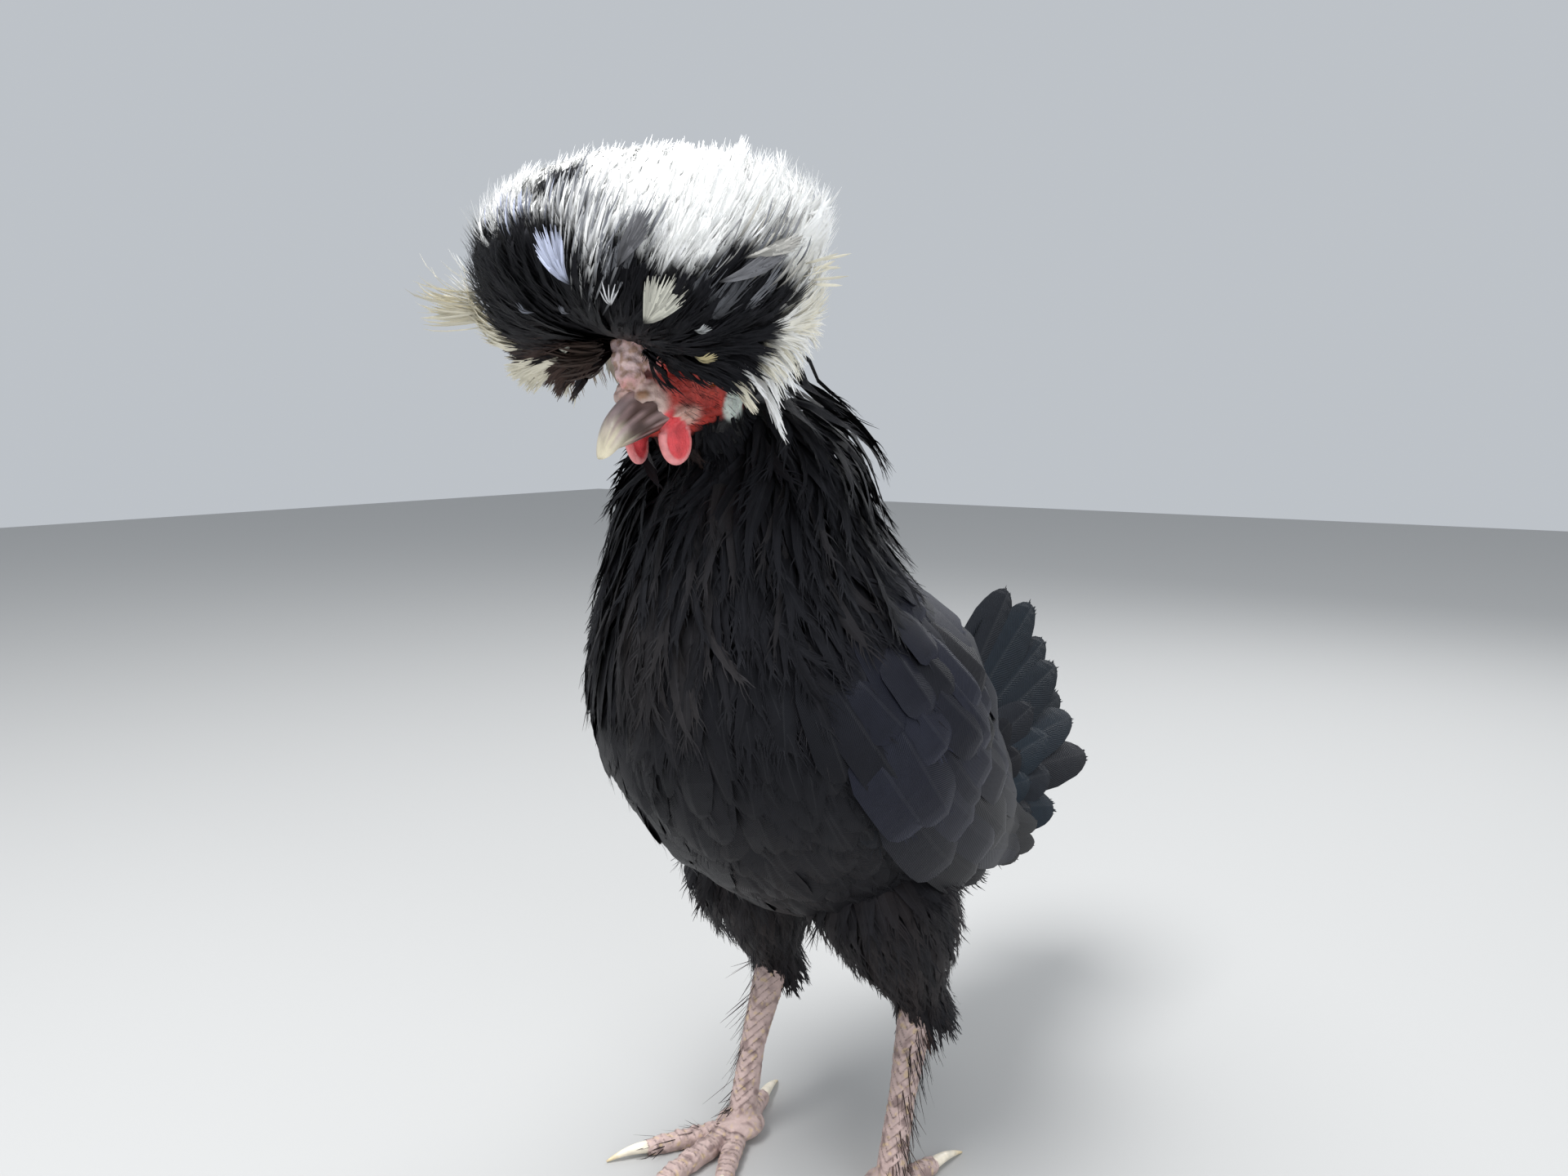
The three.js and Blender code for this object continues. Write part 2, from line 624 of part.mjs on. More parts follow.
const head = new THREE.Group();
head.position.set(...HEAD_AT);
head.rotation.x = radians(HEAD_BOW);
head.updateMatrix();
const intoHead = head.matrix.clone().invert().elements;
bird.add(head);

// What the pieces of the head keep clear of, each swollen by the gap.
const neckRoom = bodyPart(NECK_START, NECK_END + 2 * SEAM, NECK_RINGS, NECK_SIDES, GAP).transform(intoHead);
const hackleRoom = bodyPart(NECK_START, NECK_END + 2 * SEAM, 3, 12, 8).transform(intoHead);
const eyeBall = (side) => ({ ...mirrored(EYE, side), radii: Array(3).fill(EYE.radius) });
const eyeRoom = Manifold.union(bothSides((side) => ball(eyeBall(side), GAP, 12)));
const lobeRoom = Manifold.union(bothSides((side) => ball(mirrored(LOBE, side), GAP, 12)));
const combRoom = Manifold.union(COMB.map((part) => ball(part, GAP, 10)));
const billRoom = Manifold.union([billPart(BILL_UPPER, GAP), billPart(BILL_LOWER, GAP)]);
const skinRoom = headSolid(GAP).add(neckRoom);

const lids = bothSides((side) => sideRing(LID, side));
const faceHollows = Manifold.union([neckRoom, eyeRoom, ball(MOUTH, 0, 12)]);
add(head, 'head', Manifold.union([headSolid(), ...lids]).subtract(faceHollows), faceSkin);

const comb = Manifold.union(COMB.map((part) => ball(part, 0, 10)));
add(head, 'comb', comb.subtract(skinRoom).subtract(billRoom), combSkin);

const nostrils = bothSides((side) => sideRing(NOSTRIL, side));
const nares = bothSides((side) => ball({ ...mirrored(NOSTRIL, side), radii: NOSTRIL.hole }, 0, 8));
const upperBill = Manifold.union([billPart(BILL_UPPER), ...nostrils]);
add(head, 'bill_upper', upperBill.subtract(Manifold.union([skinRoom, ...nares])), horn);
add(head, 'bill_lower', billPart(BILL_LOWER).subtract(skinRoom), horn);

const crestRoom = Manifold.union([skinRoom, eyeRoom, lobeRoom, hackleRoom, combRoom, billRoom]);
add(head, 'crest', crestSolid(crestRoom), white);

for (const [name, side] of SIDES) {
  add(head, `eye_${name}`, ball(eyeBall(side), 0, 10), eyeGloss);
  add(head, `earlobe_${name}`, ball(mirrored(LOBE, side), 0, 12).subtract(skinRoom), lobeSkin);
  add(head, `wattle_${name}`, wattleSolid(side, skinRoom.add(billRoom)), wattleSkin);
}

const thighRoom = bar(THIGH, THIGH_RADII.map((r) => r + GAP), 14);
const wingRoom = wingPad(1, UNDER_WING, -2);
for (const [name, side] of SIDES) {
  add(bird, `wing_${name}`, wingSolid(side), black);
  const leg = new THREE.Group();
  leg.scale.x = side;
  add(leg, `thigh_${name}`, thighSolid().subtract(wingRoom), black);
  add(leg, `shank_${name}`, shankSolid().subtract(thighRoom), scales);
  const foot = new THREE.Group();
  foot.position.set(FOOT[0], FOOT[1], 0);
  for (const [toeName, toe] of Object.entries(TOES)) {
    add(foot, `toe_${toeName}_${name}`, toeSolid(toe), scales);
    add(foot, `claw_${toeName}_${name}`, clawSolid(toe), clawHorn);
  }
  leg.add(foot);
  bird.add(leg);
}

// The frame's origin is under the middle of the bird's box, on the floor.
bird.updateMatrixWorld(true);
const box = new THREE.Box3().setFromObject(bird, true);
bird.position.set(-(box.min.x + box.max.x) / 2, -(box.min.y + box.max.y) / 2, -box.min.z);

export default bird;
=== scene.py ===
# %% [markdown]
# # A polish crested hen
# The hen is a skin with her coat of feathers over it. The imported solids say where everything
# goes, so the first cell loads them and can read the outer box of a part.

# %% The frame
import math
import bpy
import numpy as np
from mathutils import Matrix, Vector, noise


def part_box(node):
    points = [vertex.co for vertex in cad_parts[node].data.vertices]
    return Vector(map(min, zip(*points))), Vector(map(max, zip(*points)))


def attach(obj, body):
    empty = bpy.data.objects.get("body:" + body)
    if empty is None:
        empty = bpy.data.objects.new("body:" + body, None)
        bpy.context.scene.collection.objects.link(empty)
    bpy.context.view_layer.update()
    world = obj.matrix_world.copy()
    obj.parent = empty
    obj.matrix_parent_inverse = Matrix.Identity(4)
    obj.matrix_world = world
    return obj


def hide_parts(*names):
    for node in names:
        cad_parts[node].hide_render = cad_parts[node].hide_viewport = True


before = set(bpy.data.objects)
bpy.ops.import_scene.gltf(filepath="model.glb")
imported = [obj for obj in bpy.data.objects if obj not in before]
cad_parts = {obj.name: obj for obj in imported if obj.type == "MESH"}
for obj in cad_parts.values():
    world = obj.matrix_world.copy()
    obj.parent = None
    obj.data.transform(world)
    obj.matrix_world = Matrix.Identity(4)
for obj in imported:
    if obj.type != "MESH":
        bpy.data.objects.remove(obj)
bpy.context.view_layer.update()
MM = 0.001
rng = np.random.default_rng(20)

# %% [markdown]
# The body and neck are one run of oval sections from the rump to the base of the skull, given in
# millimetres as on the solids. Everything on the body is placed by how far along this run it is,
# the angle round it, and its lift off the surface. The head is a frame of its own, bowed a little.

# %% The body's run and the head's frame
STATIONS = np.array([
    # y, z, half width, reach to the back, reach to the breast
    (97, 97, 12, 10, 10),
    (75, 107, 34, 25, 28),
    (45, 125, 48, 38, 44),
    (12, 147, 55, 45, 54),
    (-14, 172, 57, 45, 57),
    (-30, 199, 48, 38, 50),
    (-38, 224, 38, 34, 35),
    (-40, 245, 35, 32, 18),
    (-43, 265, 20, 21, 4),
], float)
SPANS = len(STATIONS) - 1
BEYOND = 250  # millimetres for each unit of t past the run's ends
HEAD_AT = np.array([0.0, -60.0, 266.0])
HEAD_BOW = math.radians(14)
EYE = np.array([10.8, -5.0, 3.5])
SIDES = ((1, "left"), (-1, "right"))


def unit(v):
    return v / np.maximum(np.linalg.norm(v, axis=-1, keepdims=True), 1e-9)


def smooth(low, high, x):
    s = np.clip((np.asarray(x, float) - low) / (high - low), 0, 1)
    return s * s * (3 - 2 * s)


def run(t):
    """Values and slopes of the stations at t from 0 to 1, by Catmull-Rom."""
    ends = (2 * STATIONS[0] - STATIONS[1], 2 * STATIONS[-1] - STATIONS[-2])
    padded = np.vstack([ends[0], STATIONS, ends[1]])
    x = np.clip(t, 0, 1) * SPANS
    i = np.minimum(x.astype(int), SPANS - 1)
    s = (x - i)[..., None]
    before, start, end, after = (padded[i + k] for k in range(4))
    leave, arrive = (end - before) / 2, (after - start) / 2
    a, b = 2 * start - 2 * end + leave + arrive, -3 * start + 3 * end - 2 * leave - arrive
    return ((a * s + b) * s + leave) * s + start, (3 * a * s + 2 * b) * s + leave


def hide(t, angle, lift, bed=(0, 0, 0)):
    """Points at t along the body and an angle in degrees: 0 the left flank, 90 the back. Past
    its ends the run goes on straight. bed is the least half width, back and breast, for what
    lies on a broader bed than the body."""
    t, angle, lift = np.broadcast_arrays(np.asarray(t, float), angle, lift)
    value, slope = run(t)
    along = unit(np.stack([np.zeros_like(t), slope[..., 0], slope[..., 1]], -1))
    up = np.stack([np.zeros_like(t), along[..., 2], -along[..., 1]], -1)
    centre = np.stack([np.zeros_like(t), value[..., 0], value[..., 1]], -1)
    centre = centre + along * ((t - np.clip(t, 0, 1)) * BEYOND)[..., None]
    turn = np.radians(angle)
    side = np.maximum(value[..., 2], bed[0]) + lift
    back, breast = np.maximum(value[..., 3], bed[1]), np.maximum(value[..., 4], bed[2])
    tall = np.where(np.sin(turn) > 0, back, breast)
    out = np.stack([side * np.cos(turn), 0 * turn, 0 * turn], -1)
    return centre + up * ((tall + lift) * np.sin(turn))[..., None] + out


def from_head(p):
    """Points of the head's own frame in the bird's."""
    p = np.asarray(p, float)
    c, s = math.cos(HEAD_BOW), math.sin(HEAD_BOW)
    turned = np.stack([p[..., 0], p[..., 1] * c - p[..., 2] * s, p[..., 1] * s + p[..., 2] * c], -1)
    return turned + HEAD_AT


boxes = [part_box(node) for node in ("eye_left", "eye_right")]
eyes_middle = np.mean([np.array(corner) for pair in boxes for corner in pair], axis=0) / MM
ORIGIN = eyes_middle - from_head(EYE * (0, 1, 1))


def to_frame(points):
    """Millimetres of the bird as metres of the frame."""
    return (np.asarray(points, float) + ORIGIN) * MM


print("the bird's own origin in the frame, mm:", ORIGIN.round(2))

# %% [markdown]
# ## Feathers
# A feather is a shaft with a flat vane, and its barbs part at the edges and the tip, which makes
# a coat look soft. Particle hair doesn't leave Blender, so each vane and each loose barb is a
# thin closed strip. Here numpy works out where each strip runs, as a line of points that carry
# its width, its colour and its place on the skin, and one Geometry Nodes tree sweeps a flat,
# three-sided section along all the lines of a piece at once. The sweep follows any curve of the
# body, which copies of a ready-made feather couldn't. Each strip also gets a patch of the map
# "OFBake", as wide as PATCH, at its root's place on the unwrapped skin.

# %% The tree that sweeps the strips
PATCH = 0.003
EDGE_ANGLE = math.radians(60)
CORNER = math.sin(math.radians(60))


def add_node(tree, kind, inputs=None, **settings):
    """Adds a node with its settings, links or sets its inputs, and returns its outputs."""
    node = tree.nodes.new(kind)
    for label, value in settings.items():
        setattr(node, label, value)
    for label, value in (inputs or {}).items():
        if isinstance(value, bpy.types.NodeSocket):
            tree.links.new(value, node.inputs[label])
        else:
            node.inputs[label].default_value = value
    return node.outputs


def math_node(tree, operation, *values):
    return add_node(tree, "ShaderNodeMath", dict(enumerate(values)), operation=operation)[0]


def parts_of(tree, vector):
    return add_node(tree, "ShaderNodeSeparateXYZ", {0: vector})


def read(tree, name, kind):
    return add_node(tree, "GeometryNodeInputNamedAttribute", {"Name": name}, data_type=kind)["Attribute"]


def store(tree, geometry, name, value, **settings):
    given = {"Geometry": geometry, "Name": name, "Value": value}
    return add_node(tree, "GeometryNodeStoreNamedAttribute", given, **settings)[0]


def store_uv(tree, geometry, name, u, v):
    pair = add_node(tree, "ShaderNodeCombineXYZ", {0: u, 1: v})[0]
    return store(tree, geometry, name, pair, data_type="FLOAT2", domain="CORNER")


def section(tree, thickness, camber):
    """A flat triangle, its ridge on top in the middle and its edges at either side. It keeps
    how far across it each corner is, from 0 to 1, as "side"."""
    ring = add_node(tree, "GeometryNodeCurvePrimitiveCircle", {"Resolution": 3, "Radius": 1})
    place = parts_of(tree, add_node(tree, "GeometryNodeInputPosition")[0])
    across = math_node(tree, "DIVIDE", place["Y"], -CORNER)
    side = store(tree, ring["Curve"], "side", math_node(tree, "MULTIPLY_ADD", across, 0.5, 0.5))
    middle = math_node(tree, "SUBTRACT", 1, math_node(tree, "ABSOLUTE", across))
    arch = math_node(tree, "MULTIPLY", middle, camber)
    height = math_node(tree, "MULTIPLY_ADD", place["X"], thickness, arch)
    flat = add_node(tree, "ShaderNodeCombineXYZ", {0: across, 1: height})[0]
    return add_node(tree, "GeometryNodeSetPosition", {"Geometry": side, "Position": flat})[0]


def strip_tree():
    """Sweeps the section along every line, as wide as the line says, with its maps."""
    tree = bpy.data.node_groups.new("feather_strips", "GeometryNodeTree")
    inputs = {"Geometry": "Geometry", "Thickness": "Float", "Camber": "Float", "Material": "Material"}
    for label, kind in inputs.items():
        tree.interface.new_socket(label, in_out="INPUT", socket_type="NodeSocket" + kind)
    tree.interface.new_socket("Geometry", in_out="OUTPUT", socket_type="NodeSocketGeometry")
    given = add_node(tree, "NodeGroupInput")

    lines = add_node(tree, "GeometryNodeMeshToCurve", {"Mesh": given["Geometry"]})[0]
    turned = add_node(
        tree, "GeometryNodeSetCurveNormal",
        {"Curve": lines, "Normal": read(tree, "across", "FLOAT_VECTOR")}, mode="FREE")[0]
    factor = add_node(tree, "GeometryNodeSplineParameter")["Factor"]
    sweep = add_node(tree, "GeometryNodeCurveToMesh", {
        "Curve": store(tree, turned, "along", factor),
        "Profile Curve": section(tree, given["Thickness"], given["Camber"]),
        "Scale": read(tree, "half_width", "FLOAT"),
        "Fill Caps": True,
    })[0]

    along, over = read(tree, "along", "FLOAT"), read(tree, "side", "FLOAT")
    root = parts_of(tree, read(tree, "root", "FLOAT_VECTOR"))
    u = math_node(tree, "MULTIPLY_ADD", over, PATCH, root["X"])
    v = math_node(tree, "MULTIPLY_ADD", along, PATCH, root["Y"])
    mapped = store_uv(tree, store_uv(tree, sweep, "Vane", over, along), "OFBake", u, v)
    real = add_node(tree, "GeometryNodeRealizeInstances", {0: mapped})[0]
    dressed = {"Geometry": real, "Material": given["Material"]}
    add_node(tree, "NodeGroupOutput", {"Geometry": add_node(tree, "GeometryNodeSetMaterial", dressed)[0]})
    return tree


STRIPS = strip_tree()
print("the tree that sweeps the strips has", len(STRIPS.nodes), "nodes")


def plain_mesh(shaper, name):
    """The evaluated shape of an object as a plain object at the origin, and the shaper gone."""
    bpy.context.view_layer.update()
    evaluated = shaper.evaluated_get(bpy.context.evaluated_depsgraph_get())
    shape = bpy.data.meshes.new_from_object(evaluated)
    shape.name = name
    bpy.data.objects.remove(shaper)
    piece = bpy.data.objects.new(name, shape)
    bpy.context.scene.collection.objects.link(piece)
    shape.shade_smooth()
    return piece

# %% [markdown]
# A batch of strips is a few arrays, one row for each strip. The vane's width follows a rule of
# its kind: contour feathers are round at the tip, hackles and crest feathers run to a point. Its
# edge is a little ragged, as real vanes are where barbs have parted.

# %% Vanes
LEAST_HALF = 0.04


def round_tip(s, start, reach):
    """1 up to start, then a quarter of an ellipse that closes over reach."""
    return np.sqrt(np.clip(1 - (np.maximum(0, s - start) / reach) ** 2, 0, 1))


def rounded(s):
    return np.minimum(1, 0.3 + 2.4 * s) * round_tip(s, 0.62, 0.385)


def broad(s):
    return np.minimum(1, 0.35 + 2.6 * s) * round_tip(s, 0.76, 0.242)


def pointed(s):
    return np.minimum(1, 0.35 + 2.2 * s) * np.clip(1 - s, 0, 1) ** 0.55


def shares(stops):
    """Shares of a feather's length, closer together towards its tip."""
    return 1 - (1 - np.linspace(0, 1, stops)) ** 1.6


def slopes(points):
    return unit(np.gradient(points, axis=1))


def at_stops(values, stops):
    """The same value at every stop of a strip."""
    return np.repeat(values[:, None], stops, axis=1)


def strips(points, outward, half, tint, root, roll=0.0):
    """One batch: points and outward are (n, k, 3), half (n, k), tint (n, k, 3), root (n, 2)."""
    along = slopes(points)
    across = unit(np.cross(outward, along))
    up = np.cross(along, across)
    turn = np.broadcast_to(np.asarray(roll, float).reshape(-1, 1, 1), across[..., :1].shape)
    across = across * np.cos(turn) + up * np.sin(turn)
    return dict(points=points, across=across, half=np.maximum(half, LEAST_HALF), tint=tint, root=root)


def vanes(points, outward, width, tint, root, outline=rounded, ragged=0.12, roll=0.0):
    """A batch of vanes of one outline. ragged is how much of the width a parted barb takes."""
    count, stops = points.shape[:2]
    s = shares(stops)
    half = width[:, None] / 2 * outline(s)[None]
    half = half * (1 - ragged * rng.random((count, stops)))
    if tint.ndim == 2:
        tint = at_stops(tint, stops)
    return strips(points, outward, half, tint, root, roll)


print("a round vane's half width along its length:", rounded(shares(7)).round(2))

# %% [markdown]
# Loose barbs soften the outline of every feather. Each leaves its vane between the shaft and the
# edge, goes on towards the tip at a small angle, and bends back along the vane.

# %% Loose barbs
BARB_TAPER = np.array([1.0, 0.85, 0.12])


def barbs(batch, per_feather, length, start=0.35, spread=(12, 36), lift=0.1, thick=0.26, mix=0.0,
          vary=0.0):
    """Loose barbs that leave each vane of a batch at its edges and its tip. start is where along
    the vane they begin, and spread the angles they leave it at. mix is how far along the vane a
    barb may take its colour from, and vary how much lighter or darker it may be."""
    points, across, half = batch["points"], batch["across"], batch["half"]
    along = slopes(points)
    count, stops = points.shape[:2]
    which = np.repeat(np.arange(count), per_feather)
    total = len(which)
    s = start + (0.99 - start) * rng.random(total) ** 0.8
    x = s * (stops - 1)
    i = np.minimum(x.astype(int), stops - 2)
    f = (x - i)[:, None]

    def at(values):
        return values[which, i] * (1 - f) + values[which, i + 1] * f

    way = np.where(rng.random(total) < 0.5, -1.0, 1.0)[:, None]
    here, go, out = at(points), unit(at(along)), unit(at(across)) * way
    up = unit(np.cross(at(along), at(across)))
    wide = (half[which, i] * (1 - f[:, 0]) + half[which, i + 1] * f[:, 0])[:, None]
    reach = (length[which] * rng.uniform(0.55, 1.2, total))[:, None]
    turn = np.radians(rng.uniform(spread[0], spread[1], total))[:, None] * (1.15 - 0.6 * s[:, None])
    begin = here + out * wide * rng.uniform(0.2, 0.75, (total, 1))
    middle = begin + (go * np.cos(turn) + out * np.sin(turn)) * reach * 0.5
    rise = up * rng.normal(0, lift, (total, 1)) * reach
    end = middle + (go * np.cos(turn * 0.55) + out * np.sin(turn * 0.55)) * reach * 0.5 + rise
    line = np.stack([begin, middle, end], 1)
    width = thick * rng.uniform(0.7, 1.3, (total, 1)) * BARB_TAPER
    other = np.clip(np.round(x + mix * stops * rng.normal(0, 1, total)), 0, stops - 1).astype(int)
    tint = batch["tint"][which, other] * rng.uniform(1 - vary, 1 + vary, (total, 1))
    stops = len(BARB_TAPER)
    return strips(line, at_stops(up, stops), width, at_stops(tint, stops), batch["root"][which])


print("a barb's width at its root, middle and tip:", BARB_TAPER)

# %% [markdown]
# Growing a piece puts the lines of its batches in one mesh of edges, hands the tree its inputs
# and keeps the evaluated shape as a plain mesh.

# %% Batches into a piece
def grow(name, batches, material, thickness=0.07, camber=0.16):
    """Sweeps the batches of strips into one piece. Thickness and camber are shares of a strip's
    half width."""
    points = [b["points"].reshape(-1, 3) for b in batches]
    shaper = bpy.data.objects.new(name + "_lines", bpy.data.meshes.new(name + "_lines"))
    bpy.context.scene.collection.objects.link(shaper)
    mesh = shaper.data
    edges, start = [], 0
    for batch in batches:
        count, stops = batch["points"].shape[:2]
        first = start + np.arange(count)[:, None] * stops + np.arange(stops - 1)[None]
        edges.append(np.stack([first, first + 1], -1).reshape(-1, 2))
        start += count * stops
    points, edges = np.concatenate(points), np.concatenate(edges)
    mesh.vertices.add(len(points))
    mesh.vertices.foreach_set("co", to_frame(points).astype(np.float32).ravel())
    mesh.edges.add(len(edges))
    mesh.edges.foreach_set("vertices", edges.astype(np.int32).ravel())

    def put(label, kind, field, values):
        layer = mesh.attributes.new(label, kind, "POINT")
        layer.data.foreach_set(field, values.astype(np.float32).ravel())

    def each(key):
        return np.concatenate([b[key].reshape(-1, b[key].shape[-1]) for b in batches])

    put("across", "FLOAT_VECTOR", "vector", each("across"))
    put("half_width", "FLOAT", "value", np.concatenate([b["half"].ravel() for b in batches]) * MM)
    tint = np.clip(each("tint"), 0, 1)
    put("tint", "FLOAT_COLOR", "color", np.concatenate([tint, np.ones((len(tint), 1))], 1))
    roots = [np.repeat(b["root"], b["points"].shape[1], axis=0) for b in batches]
    roots = np.concatenate(roots) * (1 - PATCH)
    put("root", "FLOAT_VECTOR", "vector", np.concatenate([roots, np.zeros((len(roots), 1))], 1))
    sweep = shaper.modifiers.new("sweep", "NODES")
    sweep.node_group = STRIPS
    given = {"Thickness": thickness, "Camber": camber, "Material": material}
    for item in STRIPS.interface.items_tree:
        if item.in_out == "INPUT" and item.name in given:
            sweep[item.identifier] = given[item.name]
    piece = plain_mesh(shaper, name)
    piece.data.set_sharp_from_angle(angle=EDGE_ANGLE)
    faces = sum(len(p.vertices) - 2 for p in piece.data.polygons)
    print(name, "has", sum(len(b["points"]) for b in batches), "strips and", faces, "triangles")
    return piece

# %% [markdown]
# ## Finishes
# Every finish takes its colour from the piece's own "tint", set where the piece is made, so skin
# and feathers carry the same markings. On a feather the barbs run slantwise from a pale shaft:
# the "Vane" map runs across and along each feather, and a wave on it makes the fine ribs.

# %% Materials
def linear(red, green, blue):
    """A colour as seen on a screen, 0 to 255, as the linear light that Blender works in."""
    c = np.array([red, green, blue], float) / 255
    return np.where(c <= 0.04045, c / 12.92, ((c + 0.055) / 1.055) ** 2.4)


def new_material(name, roughness, **sockets):
    material = bpy.data.materials.new(name)
    material.use_nodes = True
    shader = material.node_tree.nodes["Principled BSDF"]
    shader.inputs["Roughness"].default_value = roughness
    for label, value in sockets.items():
        shader.inputs[label.replace("_", " ")].default_value = value
    return material, material.node_tree, shader


def tint_of(tree):
    return add_node(tree, "ShaderNodeAttribute", attribute_name="tint")["Color"]


def multiply(tree, colour, factor):
    return add_node(tree, "ShaderNodeVectorMath", {0: colour, "Scale": factor}, operation="SCALE")[0]


def bump(tree, shader, height, strength, distance):
    given = {"Height": height, "Strength": strength, "Distance": distance}
    tree.links.new(add_node(tree, "ShaderNodeBump", given)[0], shader.inputs["Normal"])


def noise_of(tree, scale, detail=4.0, stretch=(1, 1, 1)):
    """Noise on Object coordinates, in cells of 1/scale metres."""
    place = add_node(tree, "ShaderNodeTexCoord")["Object"]
    mapped = add_node(tree, "ShaderNodeMapping", {0: place, "Scale": stretch})[0]
    given = {"Vector": mapped, "Scale": scale, "Detail": detail}
    return add_node(tree, "ShaderNodeTexNoise", given)["Fac"]


BARB_SLANT, HALF_SHAFT, RIB_RELIEF = -0.35, 0.03, 0.0002


def feather_material(name, roughness, ribs, contrast, shaft, uneven, **sockets):
    """ribs and contrast are the barbs' pitch and shade, shaft how much paler the shaft is, and
    uneven how much the colour varies in patches."""
    material, tree, shader = new_material(name, roughness, **sockets)
    place = parts_of(tree, add_node(tree, "ShaderNodeUVMap", uv_map="Vane")[0])
    off = math_node(tree, "ABSOLUTE", math_node(tree, "SUBTRACT", place["X"], 0.5))
    slant = math_node(tree, "MULTIPLY_ADD", off, BARB_SLANT, place["Y"])
    wave = math_node(tree, "SINE", math_node(tree, "MULTIPLY", slant, ribs))
    patchy = math_node(tree, "MULTIPLY_ADD", noise_of(tree, 260, 3.0), uneven, 1 - uneven / 2)
    shade = math_node(tree, "MULTIPLY", math_node(tree, "MULTIPLY_ADD", wave, contrast, 1.0), patchy)
    vane = multiply(tree, tint_of(tree), shade)
    paler = math_node(tree, "MULTIPLY", math_node(tree, "LESS_THAN", off, HALF_SHAFT), shaft)
    colour = add_node(tree, "ShaderNodeVectorMath", {0: vane, 1: paler}, operation="ADD")[0]
    tree.links.new(colour, shader.inputs["Base Color"])
    bump(tree, shader, wave, 0.35, RIB_RELIEF)
    return material


black_feather = feather_material(
    "black_feather", 0.48, ribs=380, contrast=0.2, shaft=0.006, uneven=0.7,
    Specular_IOR_Level=0.22, Specular_Tint=(0.82, 0.86, 1.0, 1))
white_feather = feather_material(
    "white_feather", 0.62, ribs=150, contrast=0.02, shaft=0.0, uneven=0.06, Specular_IOR_Level=0.3)
print("black feathers have a faint blue gloss and white ones are duller")

# %% [markdown]
# Skin, scales and horn have no map of their own, so noise on Object coordinates mottles and
# roughens them. The face lets a little light through, the horn has a thin satin coat, and the eye
# is clear and wet.

# %% Skin, horn and eyes
def grown_material(name, roughness, mottle, grain, stretch=(1, 1, 1), **sockets):
    """Skin or horn: noise mottles the tint and finer noise roughens the surface. Both start with
    the noise's scale and detail: mottle ends with its depth and least, grain with its strength
    and height."""
    material, tree, shader = new_material(name, roughness, **sockets)
    scale, detail, depth, least = mottle
    shade = math_node(tree, "MULTIPLY_ADD", noise_of(tree, scale, detail, stretch), depth, least)
    tree.links.new(multiply(tree, tint_of(tree), shade), shader.inputs["Base Color"])
    scale, detail, strength, height = grain
    bump(tree, shader, noise_of(tree, scale, detail, stretch), strength, height)
    return material


bare_skin = grown_material(
    "bare_skin", 0.52, (420, 4, 0.7, 0.65), (1600, 6, 0.55, 0.0006),
    Subsurface_Weight=0.12, Subsurface_Scale=0.002, Subsurface_Radius=(1.0, 0.35, 0.2))
leg_scales = grown_material("leg_scales", 0.6, (350, 4, 0.6, 0.7), (1300, 5, 0.5, 0.0005))
horn = dict(
    mottle=(300, 5, 0.9, 0.55), grain=(700, 4, 0.25, 0.0004), Coat_Weight=0.25, Coat_Roughness=0.25)
bill_horn = grown_material("bill_horn", 0.3, stretch=(1.6, 0.3, 1.0), **horn)
claw_horn = grown_material("claw_horn", 0.42, **horn)
eye_gloss, eye_tree, eye_shader = new_material("eye_gloss", 0.05, Coat_Weight=1.0)
eye_tree.links.new(tint_of(eye_tree), eye_shader.inputs["Base Color"])
print("the scene has", len(bpy.data.materials), "materials, the solids' own among them")

# %% [markdown]
# Every piece is finished in the same way: it rides on the one body, takes its material if it has
# none and, where it stands for solids, hides those. Its colours are an attribute of its points,
# which numpy reads and writes in one go.

# %% Finishing, and a piece's points and tint
def finished(piece, material, slot, *nodes):
    """Every piece rides on the one body and hides the solids that it stands for. slot is not used."""
    if not piece.data.materials:
        piece.data.materials.append(material)
    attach(piece, "root")
    if nodes:
        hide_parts(*nodes)
    return piece


def set_tint(mesh, colours):
    """Keeps a colour for each point of a mesh, as its materials read it."""
    layer = mesh.attributes.new("tint", "FLOAT_COLOR", "POINT")
    full = np.concatenate([np.clip(colours, 0, 1), np.ones((len(colours), 1))], 1)
    layer.data.foreach_set("color", full.astype(np.float32).ravel())


def plumage(name, batches, *nodes, **shape):
    """A piece of black feathers, from its batches of strips."""
    return finished(grow(name, batches, black_feather, **shape), black_feather, "plumage", *nodes)


def vectors_of(items, field):
    flat = np.empty(len(items) * 3)
    items.foreach_get(field, flat)
    return flat.reshape(-1, 3)


def points_of(mesh):
    return vectors_of(mesh.vertices, "co")


def normals_of(mesh):
    return vectors_of(mesh.vertex_normals, "vector")


def all_over(colour, count):
    return np.repeat(colour[None], count, 0)

# %% [markdown]
# ## The skin
# One skin runs from the tail's root over the body, thighs and neck to the head. Under feathers
# it lies deeper than the solids by the coat's depth. The head is bare: skull, cheeks, throat, the
# knob that carries the crest, the comb, lids, wattles and earlobes. A voxel remesh melts the
# plain forms into one smooth surface, and then every vertex moves by a few named rules.

# %% Forms that the remesh melts together
COAT_DEPTH = 7.0
POLE_GAP = 0.02


def shape_from(points, faces, name="form"):
    mesh = bpy.data.meshes.new(name)
    mesh.from_pydata([tuple(p) for p in points], [], [tuple(f) for f in faces])
    return mesh


